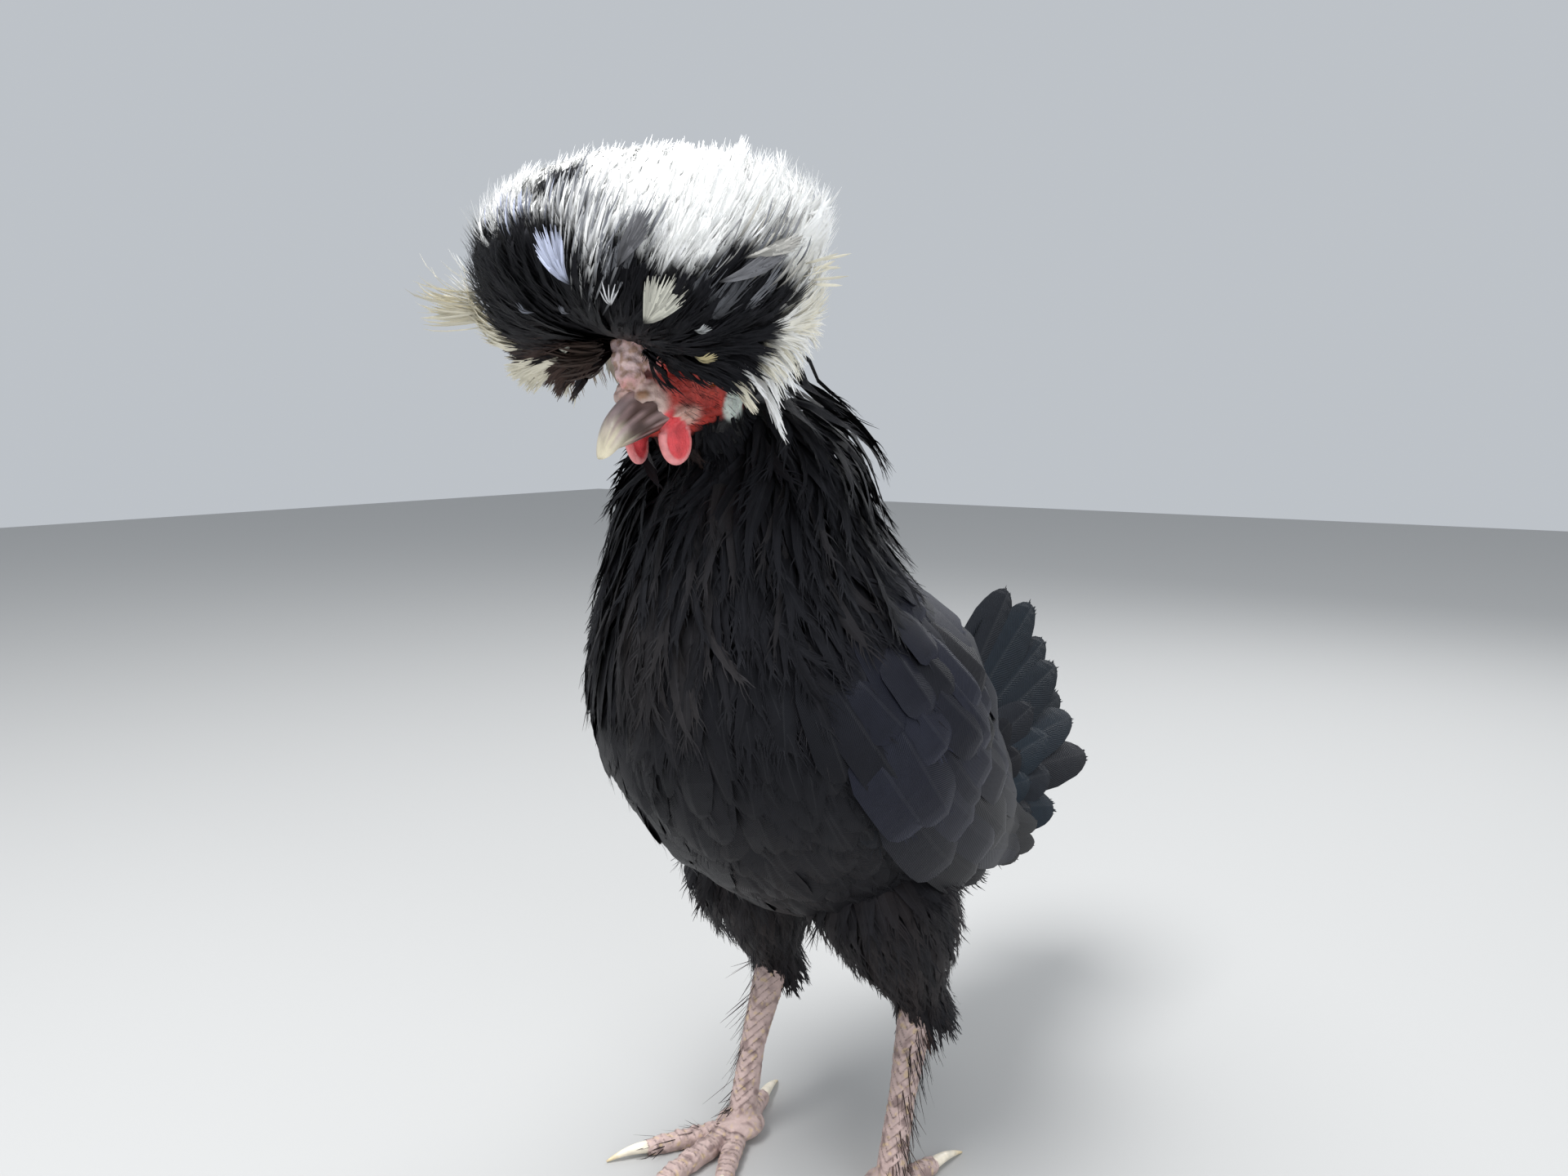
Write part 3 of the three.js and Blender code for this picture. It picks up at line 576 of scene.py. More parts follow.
def tube_mesh(rings):
    """A closed tube through rings of points, (n, sides, 3)."""
    count, sides = rings.shape[:2]
    points = rings.reshape(-1, 3)
    faces = []
    for i in range(count - 1):
        for j in range(sides):
            a, b = i * sides + j, i * sides + (j + 1) % sides
            faces.append((a, b, b + sides, a + sides))
    faces.append(tuple(range(sides))[::-1])
    faces.append(tuple((count - 1) * sides + j for j in range(sides)))
    return points, faces


def ball(at, radii, tilt=(0, 0, 0), rings=16, sides=24):
    """An ellipsoid's rings, tilted by degrees about its own axes."""
    polar = np.linspace(POLE_GAP, math.pi - POLE_GAP, rings)
    around = np.arange(sides) / sides * 2 * math.pi
    x = np.outer(np.sin(polar), np.cos(around))
    y = np.outer(np.sin(polar), np.sin(around))
    z = np.repeat(-np.cos(polar)[:, None], sides, 1)
    spins = [Matrix.Rotation(math.radians(angle), 3, axis) for angle, axis in zip(tilt, "XYZ")]
    turn = np.array(spins[2] @ spins[1] @ spins[0])
    return (np.stack([x, y, z], -1) * radii) @ turn.T + np.array(at, float)


def bar(points, radii, sides=16):
    """A round bar through points, with a radius at each."""
    points = np.asarray(points, float)
    along = unit(np.gradient(points, axis=0))
    across = unit(np.cross(along, np.array([0.0, 1.0, 0.3])))
    up = np.cross(across, along)
    around = np.arange(sides) / sides * 2 * math.pi
    around = around[None, :, None]
    ring = across[:, None] * np.cos(around) + up[:, None] * np.sin(around)
    return points[:, None] + ring * np.asarray(radii, float)[:, None, None]


print("a ball has", len(tube_mesh(ball((0, 0, 0), (1, 1, 1)))[1]), "faces")


def melted(forms, voxel, name, smoothing=4):
    """Joins closed forms into one surface by a voxel remesh, and smooths it."""
    points, faces, start = [], [], 0
    for rings in forms:
        p, f = tube_mesh(rings)
        points.append(to_frame(p))
        faces += [tuple(i + start for i in face) for face in f]
        start += len(p)
    shaper = bpy.data.objects.new(name, shape_from(np.concatenate(points), faces))
    bpy.context.scene.collection.objects.link(shaper)
    remesh = shaper.modifiers.new("remesh", "REMESH")
    remesh.mode = "VOXEL"
    remesh.voxel_size = voxel * MM
    soften = shaper.modifiers.new("soften", "SMOOTH")
    soften.iterations = smoothing
    return plain_mesh(shaper, name)

# %% [markdown]
# The body's forms are the run itself, the root of the tail and the thighs. The head's are
# ellipsoids placed by the photograph's landmarks: the crusty comb stands in front of the knob,
# the nostrils bulge beside it, the wattles hang as thin folds and the earlobes lie behind.

# %% The skin's forms
THIGH = [(24, -5, 126), (25.5, 3, 110), (28, 13, 90), (30, 23, 66)]
THIGH_RADII = [14, 25, 20, 8.5]
THIGH_COAT = (4, 6, 5, 2)
TAIL_ROOT = np.array([0.0, 78.0, 122.0])
VENT_AT, VENT_RADII = np.array([0.0, 84.0, 116.0]), np.array([14.0, 18.0, 14.0])
WATTLE_AT = np.array([6.8, -16.4, -11.0])
WATTLE_RADII = np.array([1.3, 4.0, 5.6])
WATTLE_TILT = 12
LOBE_AT = np.array([12.6, 3.2, -5.2])
KNOB_AT = np.array([0.0, -5.0, 12.5])
KNOB_RADII = np.array([12.5, 14.5, 9.0])
COMB = [
    # middle and radii of each lobe
    ((0, -20.5, 11.6), (4.8, 4.4, 5.4)),
    ((2.4, -20.6, 16), (2.4, 3.0, 3.3)),
    ((-2.6, -20.2, 15.6), (2.3, 2.8, 3.5)),
    ((0.6, -22.4, 7.4), (3.9, 3.4, 3.6)),
    ((2.8, -22.0, 10.8), (1.7, 2.0, 2.0)),
    ((-2.4, -22.6, 11.4), (1.6, 1.9, 1.9)),
]
SKULL_FORMS = [
    ((0, 0, 1), (14, 18, 14.5)),
    ((0, -6.5, -3.5), (11.5, 12.5, 10)),
    ((0, 3, -9), (10.5, 13, 9)),
    (KNOB_AT, KNOB_RADII),
    ((0, -17, -1.5), (7.6, 6.5, 7.2)),
]


def arc(at, radii, start, end, count=20):
    """Points on an ellipse in the plane of Y and Z, between two angles in degrees."""
    turn = np.radians(np.linspace(start, end, count))
    return np.array(at) + np.stack([0 * turn, radii[0] * np.cos(turn), radii[1] * np.sin(turn)], -1)


def body_forms():
    t = np.linspace(0.01, 0.985, 40)[:, None]
    around = np.arange(48) * 360 / 48
    depth = COAT_DEPTH * (1 - 0.35 * smooth(0.75, 0.98, t))
    forms = [hide(t, around[None], -depth), ball(VENT_AT, VENT_RADII)]
    for side, _ in SIDES:
        forms.append(bar(np.array(THIGH) * (side, 1, 1), np.array(THIGH_RADII) - THIGH_COAT))
    return forms


def side_forms(side):
    """The forms of one side of the head, from the wattle up to the lids."""
    flip = np.array([side, 1, 1])
    swing = np.array(Matrix.Rotation(math.radians(WATTLE_TILT * side), 3, "Z"))
    wattle_edge = arc((0, 0, 0), WATTLE_RADII[1:], -210, 20) @ swing + WATTLE_AT * flip
    lid_edge = arc((13.3 * side, -5, 3.5), (4.3, 3.7), 0, 375, 34)
    brow = arc((14.2 * side, -5, 4.1), (3.7, 2.3), 10, 170, 16)
    wattle = [
        ball(WATTLE_AT * flip, WATTLE_RADII, (0, 0, -WATTLE_TILT * side)),
        bar(wattle_edge, np.full(20, 1.25), 10),
        ball((6.0 * side, -16.5, -9.5), (2.2, 3.6, 4.0)),
    ]
    lobe = [ball(LOBE_AT * flip, (1.8, 3.6, 4.9), (0, 8 * side, 0))]
    nostril = [
        ball((4.0 * side, -20.6, 1.2), (2.9, 4.2, 2.3), (-24, 0, -12 * side)),
        ball((3.2 * side, -19.4, 3.6), (3.2, 3.4, 2.6)),
    ]
    folds = []
    for step in range(3):
        at = (9.0 * side - 0.4 * side * step, -13.4 + 0.9 * step, -3.6 - 1.6 * step)
        folds.append(ball(at, (1.7, 4.8 - 0.5 * step, 0.8), (12 + 6 * step, 0, -13 * side)))
    lids = [
        ball((11.2 * side, -5, 3.5), (1.8, 5.6, 5.2)),
        bar(lid_edge, np.full(34, 0.85), 10),
        bar(brow, np.full(16, 0.8), 10),
    ]
    return wattle + lobe + nostril + folds + lids


def head_forms():
    throat = bar([(0, 2, -2), (0, 8, -12), (0, 12, -26)], (12, 12.5, 13))
    forms = [ball(at, radii) for at, radii in SKULL_FORMS + COMB]
    forms += [throat] + side_forms(1) + side_forms(-1)
    return [from_head(rings) for rings in forms]


body = melted(body_forms(), 3.0, "skin_body", 6)
face = melted(head_forms(), 0.5, "skin_head", 2)
join = body.modifiers.new("join", "BOOLEAN")
join.operation, join.solver, join.object = "UNION", "EXACT", face
skin = plain_mesh(body, "skin")
bpy.data.objects.remove(face)
print("the skin has", len(skin.data.vertices), "vertices")

# %% [markdown]
# The skin's markings are rules of place too: most are a colour with a soft-edged ellipsoid in the
# head's own frame, mirrored to both sides. Bare red skin covers the cheeks, with a bluish-white
# earlobe, pale folds at the corner of the mouth and a grey, crusted comb.

# %% Colours and places of the head
BLACK = linear(17, 16, 18)
RED = linear(204, 70, 60)
DEEP_RED = linear(150, 40, 34)
WATTLE_RED = linear(236, 84, 90)
WATTLE_RIM = linear(248, 160, 160)
LOBE_WHITE = linear(226, 236, 228)
FOLD_PINK = linear(232, 192, 178)
COMB_GREY = linear(238, 208, 206)
CRUST = linear(196, 160, 142)
OCHRE = linear(150, 104, 58)
NOSE_PALE = linear(230, 208, 198)
NOSTRIL_BROWN = linear(70, 46, 40)
LID_RED = linear(200, 96, 84)
HEAD_REACH = 42

# Places on the head, each a middle on the left side and three radii.
NOSE = (3, -21, 0), (6.5, 5.5, 7)
COMB_SKIN = (0, -21, 11.5), (7, 7, 7.5)
CRUSTED = (0, -21, 11), (8, 7, 9)
NOSE_CRUST = (3.4, -21, 2.4), (5.5, 6, 5)
OCHRE_SPOT = (4.4, -23.0, 2.6), (1.8, 1.8, 1.3)
MOUTH_CORNER = (8.8, -13.6, -5.0), (3.2, 6.0, 2.8)
FOLDED = (9.5, -9, -7), (5, 9, 5)
LIDS = (12, -5, 3.5), (4, 6.2, 5.6)
WRINKLED = (12, -4, -1), (8, 13, 11)
NOSTRIL_AT = (5.6, -22.4, -0.4)


def to_head(points):
    """Points of the bird in the head's own frame."""
    p = points - HEAD_AT
    c, s = math.cos(HEAD_BOW), math.sin(HEAD_BOW)
    return np.stack([p[..., 0], p[..., 1] * c + p[..., 2] * s, -p[..., 1] * s + p[..., 2] * c], -1)


def near(p, at, radii, edge=0.35):
    """1 inside an ellipsoid and 0 outside it, mirrored to both sides, with a soft edge."""
    off = np.abs(p * (1, 0, 0)) + p * (0, 1, 1) - np.array(at)
    away = np.linalg.norm(off / np.array(radii), axis=1)
    return 1 - smooth(1 - edge, 1 + edge, away)


def blend(colours, other, weight):
    return colours + (np.asarray(other) - colours) * np.clip(weight, 0, 1)[:, None]


def speckle(points, size, seed=0.0):
    """Noise from -1 to 1 in cells of this size."""
    return np.array([noise.noise(Vector(p) / size + Vector((seed, seed, seed))) for p in points])


def bare_part(p):
    """How bare the head is: the face and its ornaments, and neither the nape nor the throat."""
    front = 1 - smooth(4.5, 8.0, p[:, 1] + 0.25 * p[:, 2])
    middle = 1 - smooth(3, 6, np.abs(p[:, 0]))
    throat = 1 - smooth(-9, -13, p[:, 2]) * middle * smooth(-20, -14, p[:, 1])
    jaw = smooth(-10.0, -7.0, p[:, 2] - 0.12 * p[:, 1])
    return np.clip(front * throat * jaw + near(p, WATTLE_AT, (3.4, 6.5, 9.5)), 0, 1)


print("bare at the cheek and not at the nape:", bare_part(np.array([(12, -9, -2), (0, 18, 0)])))

# %% [markdown]
# The markings are laid one over the other, and broken up by noise where the real skin is blotched.
# Noise also pushes the surface along its normals: fine grains on the cheeks, coarser crust on the
# comb. A painted bump alone would leave the outline of the comb and the folds smooth.

# %% Markings and relief of the skin
def mark_skin(p):
    """The skin's colour at points in the head's frame, one marking laid over the last."""
    bare, crusted = bare_part(p), near(p, *CRUSTED)
    wattle = near(p, WATTLE_AT, (3.0, 5.6, 8.6), 0.12)
    off = np.abs(p * (1, 0, 0)) + p * (0, 1, 1) - WATTLE_AT
    rim = smooth(0.82, 1.0, np.linalg.norm(off[:, 1:] / WATTLE_RADII[1:], axis=1))
    tint = all_over(BLACK, len(p))
    for colour, weight in (
        (RED, bare),
        (NOSE_PALE, near(p, *NOSE) * 0.9),
        (COMB_GREY, near(p, *COMB_SKIN)),
        (CRUST, crusted * smooth(0.05, 0.35, speckle(p, 1.6))),
        (OCHRE, near(p, *OCHRE_SPOT) * (p[:, 0] > 0) * 0.8),
        (NOSTRIL_BROWN, near(p, NOSTRIL_AT, (1.3, 3.0, 0.8), 0.6) * 0.8),
        (OCHRE, crusted * smooth(0.3, 0.5, speckle(p, 1.1, 7)) * 0.6),
        (FOLD_PINK, near(p, *MOUTH_CORNER) * 0.9),
        (LID_RED, near(p, *LIDS) * 0.5),
        (DEEP_RED, bare * smooth(-0.1, 0.5, speckle(p, 3.4, 17)) * (p[:, 1] > -15) * 0.6),
        (LOBE_WHITE, near(p, LOBE_AT, (3.2, 4.4, 5.6), 0.2)),
        (WATTLE_RED, wattle),
        (WATTLE_RIM, wattle * rim * (1 - smooth(2, 5, off[:, 2]))),
    ):
        tint = blend(tint, colour, weight)
    return tint * (1 + 0.22 * speckle(p, 2.2, 3))[:, None]


def skin_relief(p, wrinkles):
    """How far the skin stands out, in millimetres: grain, wrinkles, crust, nostrils and folds."""
    bare = bare_part(p)
    push = 0.16 * speckle(p, 0.9) * bare + 0.22 * speckle(p, 2.4, 5)
    push += 0.34 * (1 - 2 * np.abs(wrinkles)) * bare * near(p, *WRINKLED)
    push += 0.55 * near(p, *CRUSTED) * speckle(p, 1.7, 9)
    push += 0.4 * near(p, *NOSE_CRUST) * speckle(p, 1.5, 13)
    push -= 1.1 * near(p, NOSTRIL_AT, (1.4, 3.2, 0.9), 0.6)
    push += 0.3 * near(p, *FOLDED) * np.sin(p[:, 2] * 3.1 + 0.5 * p[:, 1])
    return push * (1 - 0.85 * near(p, WATTLE_AT, (3.2, 6, 9)))


def shape_skin(mesh):
    """Marks the skin and pushes the head's part of it along its normals."""
    at, normals = points_of(mesh), normals_of(mesh)
    p = to_head(at / MM - ORIGIN)
    head = np.nonzero(np.linalg.norm(p, axis=1) < HEAD_REACH)[0]
    p = p[head]
    wrinkles = speckle(p * (1.0, 0.55, 1.6), 1.1, 21)
    dark = smooth(0.16, 0.0, np.abs(wrinkles)) * near(p, *WRINKLED)
    tint = all_over(BLACK, len(at))
    tint[head] = mark_skin(p) * (1 - 0.3 * dark)[:, None]
    at[head] += normals[head] * skin_relief(p, wrinkles)[:, None] * MM
    mesh.vertices.foreach_set("co", at.astype(np.float32).ravel())
    set_tint(mesh, tint)
    mesh.update()


shape_skin(skin.data)
finished(skin, bare_skin, "face", "torso", "neck", "head", "thigh_left", "thigh_right", "comb",
         "wattle_left", "wattle_right", "earlobe_left", "earlobe_right")
print("marked and shaped the skin")

# %% [markdown]
# ## Eyes and bill
# The eyes stay pieces of their own, because they are wet and clear where skin is dull. The bill
# is horn: the upper half hooks over the lower, its sides are streaked with brown along the
# growth, its tip is cream and its ridge is painted pale, as a highlight. Rings of points follow
# the same curve as on the solids, and the colour is set ring by ring.

# %% Eyes
EYE_RADIUS, CORNEA_BULGE, CORNEA_SPREAD = 4.25, 0.05, 30
EYE_RIM, IRIS, PUPIL = linear(60, 30, 18), linear(170, 78, 26), linear(6, 5, 5)


def outward(faces, side):
    """The faces of a mirrored shape are turned round, to point outwards."""
    return faces if side > 0 else [face[::-1] for face in faces]


def add_piece(name, points, faces, tint):
    """A piece straight from points in millimetres, faces and colours."""
    mesh = shape_from(to_frame(points), faces, name)
    mesh.validate()
    piece = bpy.data.objects.new(name, mesh)
    bpy.context.scene.collection.objects.link(piece)
    set_tint(mesh, tint)
    mesh.shade_smooth()
    return piece


def make_eye(name, side):
    """A ball with its rings round the line of sight, and a slight bulge over the pupil."""
    rings = ball((0, 0, 0), (1, 1, 1), rings=28, sides=40)
    points, faces = tube_mesh(rings[..., [2, 0, 1]])
    off_sight = np.degrees(np.arccos(np.clip(points[:, 0], -1, 1)))
    tint = blend(all_over(EYE_RIM, len(points)), IRIS, 1 - smooth(50, 58, off_sight))
    tint = blend(tint, PUPIL, 1 - smooth(19, 22, off_sight))
    bulge = 1 + CORNEA_BULGE * np.exp(-(off_sight / CORNEA_SPREAD) ** 2)
    points = points * EYE_RADIUS * bulge[:, None] * (side, 1, 1)
    return add_piece(name, from_head(points + EYE * (side, 1, 1)), outward(faces, side), tint)


for side, hand in SIDES:
    finished(make_eye("eye_%s_ball" % hand, side), eye_gloss, "eye", "eye_" + hand)
print("the eyes are", 2 * EYE_RADIUS, "mm across")

# %% The bill
BILL_ROOT, BILL_REACH, BILL_HALF = (-11.0, -4.0), 27.0, 7.1
HOOK, MOUTH_ROOF = 1.6, 0.7
HORN_BASE, HORN_BROWN = linear(168, 142, 140), linear(74, 52, 44)
HORN_RIDGE_HIGHLIGHT, HORN_TIP = linear(206, 184, 184), linear(226, 216, 188)


def make_bill(name, share, tall, drop, way):
    """Half of the bill, as rings from its root to its tip. way is 1 for the upper half, which
    alone has a hook, and -1 for the lower. share is its length's share of the reach."""
    steps, sides = 44, 40
    s = np.linspace(0, 1, steps)[:, None]
    turn = (np.arange(sides) / sides * 2 * math.pi)[None]
    taper = np.sqrt(1 - 0.985 * s ** 2.2)
    hook = HOOK * smooth(0.72, 1, s) ** 1.5 if way > 0 else 0 * s
    y = BILL_ROOT[0] - BILL_REACH * s * share + 0 * turn
    seam = BILL_ROOT[1] - drop * s ** 2 + 0 * turn
    arch = np.clip(np.sin(turn), 0, 1)
    pinch = 1 - 0.22 * arch ** 2
    x = BILL_HALF * taper * pinch * np.sign(np.cos(turn)) * np.abs(np.cos(turn)) ** 0.9
    inside = way * MOUTH_ROOF * taper * np.clip(-np.sin(turn), 0, 1)
    z = seam + way * tall * taper * arch ** 0.92 - inside - hook
    points, faces = tube_mesh(from_head(np.stack([x, y, z], -1)))
    along, over = (s + 0 * turn).ravel(), (arch + 0 * s).ravel()
    grain = np.stack([along * 2.2, 6 * np.cos(turn + 0 * s).ravel(), over * 9], -1)
    lines = speckle(grain, 1.0, 11)
    brown = smooth(-0.1, 0.3, lines + 0.45 * (1 - over) - 0.5 * smooth(0.5, 0.95, along))
    tint = blend(all_over(HORN_BASE, steps * sides), HORN_BROWN, brown * 0.95)
    # painted highlight: the ridge of each half is made paler, on top of the upper bill and along the keel
    # of the lower
    tint = blend(tint, HORN_RIDGE_HIGHLIGHT, smooth(0.8, 1, over) * smooth(0.3, 0.5, along) * 0.8)
    tint = blend(tint, HORN_TIP, smooth(0.7, 1.0, along + 0.14 * lines))
    return add_piece(name, points, outward(faces, way), tint)


finished(make_bill("upper_bill", 1.0, 8.8, 4.7, 1), bill_horn, "bill", "bill_upper")
finished(make_bill("lower_bill", 0.86, 4.4, 3.95, -1), bill_horn, "bill", "bill_lower")
print("the bill reaches", BILL_REACH, "mm from its root")

# %% [markdown]
# ## Legs and feet
# Each foot is one skin from the hock to the toes, melted like the head, so that no seam shows
# where the toes meet. Scutes lie across the front of the shank and the top of each toe like
# overlapping plates, and the rest is fine scales. The claws are long, curved and ivory.

# %% Feet
FOOT = np.array([31.0, 3.0, 4.0])
SHANK = np.array([(30, 23, 60), (31, 11, 32), FOOT])
TOES = {
    # length, turn from straight ahead, radius
    "inner": (22, -26, 3.7),
    "middle": (32, 4, 4.0),
    "outer": (25, 35, 3.6),
    "hind": (13, 166, 3.5),
}
TOE_START = 9.2
TOE_GIRTHS = [0.8, 0.85, 0.95, 1.06, 0.92, 1.05, 0.9, 1.0, 0.86, 0.93, 0.82, 0.72]
SHANK_PITCH, TOE_PITCH, PLATE_RELIEF = 3.4, 2.7, 0.5
GROUND = 0.02
SCALE_PINK, SCALE_GREY = linear(196, 172, 166), linear(150, 128, 124)
SCALE_TAN, GROOVE_BROWN = linear(212, 186, 140), linear(92, 76, 72)


def toe_axes(toe):
    """The directions along and across a toe, seen from above."""
    turn = math.radians(toe[1])
    return np.array([math.sin(turn), -math.cos(turn)]), np.array([math.cos(turn), math.sin(turn)])


def toe_point(toe, reach, height):
    return np.append(FOOT[:2] + toe_axes(toe)[0] * reach, height)


def toe_run(toe):
    length, _, radius = toe
    knots = zip(np.linspace(-0.3, 1.02, len(TOE_GIRTHS)), TOE_GIRTHS)
    points = [toe_point(toe, TOE_START + length * s, radius * girth * 0.82) for s, girth in knots]
    return np.array(points), radius * np.array(TOE_GIRTHS)


def foot_forms():
    forms = [bar(SHANK, (6.4, 4.4, 5.2)), ball(FOOT + (0, 0, 0.6), (8.9, 8.9, 4.6))]
    return forms + [bar(*toe_run(toe)) for toe in TOES.values()]


def plates(away, pitch):
    """Overlapping plates: each rises from 0 to 1 along its length and drops at its edge."""
    return (away / pitch) % 1


def shape_foot(mesh, side):
    """Raises the scutes, with dark grooves between them, and flattens the soles."""
    at, normals = points_of(mesh) / MM - ORIGIN, normals_of(mesh)
    p = at * (side, 1, 1)
    relief = 0.25 * speckle(p, 1.1)
    groove = np.zeros(len(p))
    front = smooth(0.1, 0.6, -normals[:, 1]) * smooth(9, 14, p[:, 2])
    saw = plates(-p[:, 2] + 1.2 * np.abs(p[:, 0] - FOOT[0]), SHANK_PITCH)
    relief += PLATE_RELIEF * front * (saw - 0.5)
    groove += front * smooth(0.8, 0.97, saw)
    for toe in TOES.values():
        go, out = toe_axes(toe)
        flat = p[:, :2] - FOOT[:2]
        reach, off = flat @ go, np.abs(flat @ out)
        top = smooth(0.2, 0.7, normals[:, 2]) * smooth(7, 10, reach)
        top = top * (1 - smooth(3.4, 4.6, off)) * (p[:, 2] < 9)
        saw = plates(reach + 0.35 * off, TOE_PITCH)
        relief += PLATE_RELIEF * top * (saw - 0.5)
        groove += top * smooth(0.78, 0.97, saw)
    at = at + normals * relief[:, None]
    at[:, 2] = np.maximum(at[:, 2], GROUND)
    mesh.vertices.foreach_set("co", to_frame(at).astype(np.float32).ravel())
    tint = all_over(SCALE_PINK, len(at))
    tint = blend(tint, SCALE_GREY, smooth(0, 0.5, speckle(p, 3.0, 4)))
    tint = blend(tint, SCALE_TAN, smooth(0.25, 0.5, speckle(p, 1.6, 8)) * 0.6)
    set_tint(mesh, blend(tint, GROOVE_BROWN, groove * 0.75))
    mesh.update()


print("each foot is melted from", len(foot_forms()), "forms")

# %% [markdown]
# A claw is a tube of falling width on a curve that leaves the end of its toe, rises a little and
# comes down to the ground. It is a piece of its own, since horn is harder and glossier than skin.

# %% Claws, and both feet
CLAW_REACH, CLAW_SUNK, CLAW_RADIUS, CLAW_ARCH, CLAW_DROP = 17.2, 2.4, 2.25, 3.4, 1.9
CLAW_IVORY, CLAW_AMBER, CLAW_ROOT = linear(236, 226, 206), linear(206, 178, 112), linear(186, 160, 140)


def make_claw(name, toe, side):
    steps, sides = 16, 20
    s = np.linspace(0, 1, steps)
    reach = TOE_START + toe[0] - CLAW_SUNK + CLAW_REACH * s
    height = toe[2] * 0.66 + CLAW_ARCH * s * (1 - s) - CLAW_DROP * s * s
    points = [toe_point(toe, *place) for place in zip(reach, height)]
    rings = bar(points, CLAW_RADIUS * (1 - 0.86 * s ** 1.5), sides)
    rings[..., 2] = np.maximum(rings[..., 2], GROUND)
    points, faces = tube_mesh(rings * (side, 1, 1))
    along = np.repeat(s, sides)
    tint = blend(all_over(CLAW_IVORY, len(points)), CLAW_AMBER, smooth(0.6, 0.95, along) * 0.6)
    tint = blend(tint, CLAW_ROOT, (1 - smooth(0.02, 0.22, along)) * 0.6)
    return add_piece(name, points, outward(faces, side), tint)


feet = {}
for side, hand in SIDES:
    foot = melted([rings * (side, 1, 1) for rings in foot_forms()], 0.5, "foot_" + hand, 2)
    shape_foot(foot.data, side)
    nodes = ["toe_%s_%s" % (which, hand) for which in TOES] + ["shank_" + hand]
    feet[hand] = finished(foot, leg_scales, "scales", *nodes)
    for which, toe in TOES.items():
        node = "claw_%s_%s" % (which, hand)
        finished(make_claw(node + "_horn", toe, side), claw_horn, "claw", node)
    print("the %s foot has" % hand, len(foot.data.vertices), "vertices and", len(TOES), "claws")

# %% [markdown]
# ## The coat of the body
# Body feathers grow in rows, each row half covered by the one in front of it. They are narrow and
# frayed on the neck, broad and round on the breast and back, and soft on the belly and thighs.
# Where a feather roots, by its place along and round the body, decides all of this.

# %% Where the body's feathers root
def places(t_low, t_high, row_gap, side_gap):
    """Rows of places from t_low to t_high, in millimetres along and round, staggered."""
    found, t, shift = [], t_low, 0.0
    while t < t_high:
        value, slope = run(np.array(t))
        round_it = math.pi * (value[2] + (value[3] + value[4]) / 2)
        count = max(8, int(round_it / side_gap))
        angle = (np.arange(count) + shift + rng.uniform(-0.3, 0.3, count)) * 360 / count
        found.append(np.stack([t + rng.uniform(-0.012, 0.012, count), (angle + 90) % 360 - 90], -1))
        t += row_gap / (SPANS * np.linalg.norm(slope[:2]))
        shift += 0.5
    return np.concatenate(found)


def under_wing(t, angle):
    side = np.abs(np.cos(np.radians(angle)))
    return (side > 0.8) & (t > 0.12) & (t < 0.5)


rows = np.concatenate([places(-0.02, 0.99, 5.0, 6.0), places(0.66, 1.05, 5.6, 6.0)])
rows = rows[(rows[:, 0] < 0.98) | (np.sin(np.radians(rows[:, 1])) > -0.2)]
rows = rows[~(under_wing(*rows.T) & (rng.random(len(rows)) < 0.75))]
NECK_START, BELLY_END = 0.66, 0.36
belly_side = np.sin(np.radians(rows[:, 1])) < -0.2
before_neck, behind_breast = rows[:, 0] <= NECK_START, rows[:, 0] <= BELLY_END
coat_pieces = {
    "coat_neck": rows[~before_neck],
    "coat_breast": rows[before_neck & ~behind_breast & belly_side],
    "coat_belly": rows[behind_breast & belly_side],
    "coat_back": rows[before_neck & ~belly_side],
}
for name, kept in coat_pieces.items():
    print(len(kept), "feathers in", name)

# %% [markdown]
# A body feather lies along the body towards the tail and rises a little towards its tip. On the
# nape some stand out as a cape, and before the wing they stand up over its bend. The shoulder
# has a blue gloss, a few feathers on the neck are greyer and the belly is browner.

# %% The body's feathers
ROOT_DEPTH, TIP_LIFT = -5.5, 1.2
SHEEN_BLUE, SHEEN_TEAL = linear(37, 39, 54), linear(26, 48, 60)
BROWNISH, GREY_BROWN = linear(50, 42, 39), linear(70, 65, 63)
SHOULDER = (48, -8, 178), (26, 26, 30)
GREY_BREAST = (4, -74, 212), (11, 14, 12)


def lie(t, angle, length, lift_root, lift_tip, drift, rise, stops=7):
    """Paths over the body from roots at (t, angle), towards the tail, and the outward directions.
    The lower rise is, the sooner a feather reaches its tip's height."""
    s = shares(stops)[None]
    _, slope = run(t)
    step = length / (SPANS * np.linalg.norm(slope[:, :2], axis=1))
    along = t[:, None] - s * step[:, None]
    turn = angle[:, None] + drift[:, None] * s
    lift = lift_root[:, None] + (lift_tip - lift_root)[:, None] * s ** rise[:, None]
    points = hide(along, turn, lift)
    return points, unit(hide(along, turn, lift + 2) - points)


def black_tint(count, spread=0.25):
    return BLACK[None] * (1 + spread * rng.normal(0, 1, count))[:, None].clip(0.3, 2.5)


def body_tint(t, angle, neck, belly):
    count, at = len(t), hide(t, angle, 0)
    tint, shoulder = black_tint(count, 0.14), near(at, *SHOULDER)
    tint = blend(tint, SHEEN_BLUE, shoulder * rng.random(count) * 0.5)
    tint = blend(tint, SHEEN_TEAL, shoulder * (rng.random(count) < 0.3) * 0.5)
    tint = blend(tint, BROWNISH, belly * rng.random(count) * 0.5)
    tint = blend(tint, GREY_BROWN, near(at, *GREY_BREAST, 0.5) * rng.uniform(0.15, 0.4, count))
    return blend(tint, GREY_BROWN, neck * (rng.random(count) < 0.1) * 0.2)


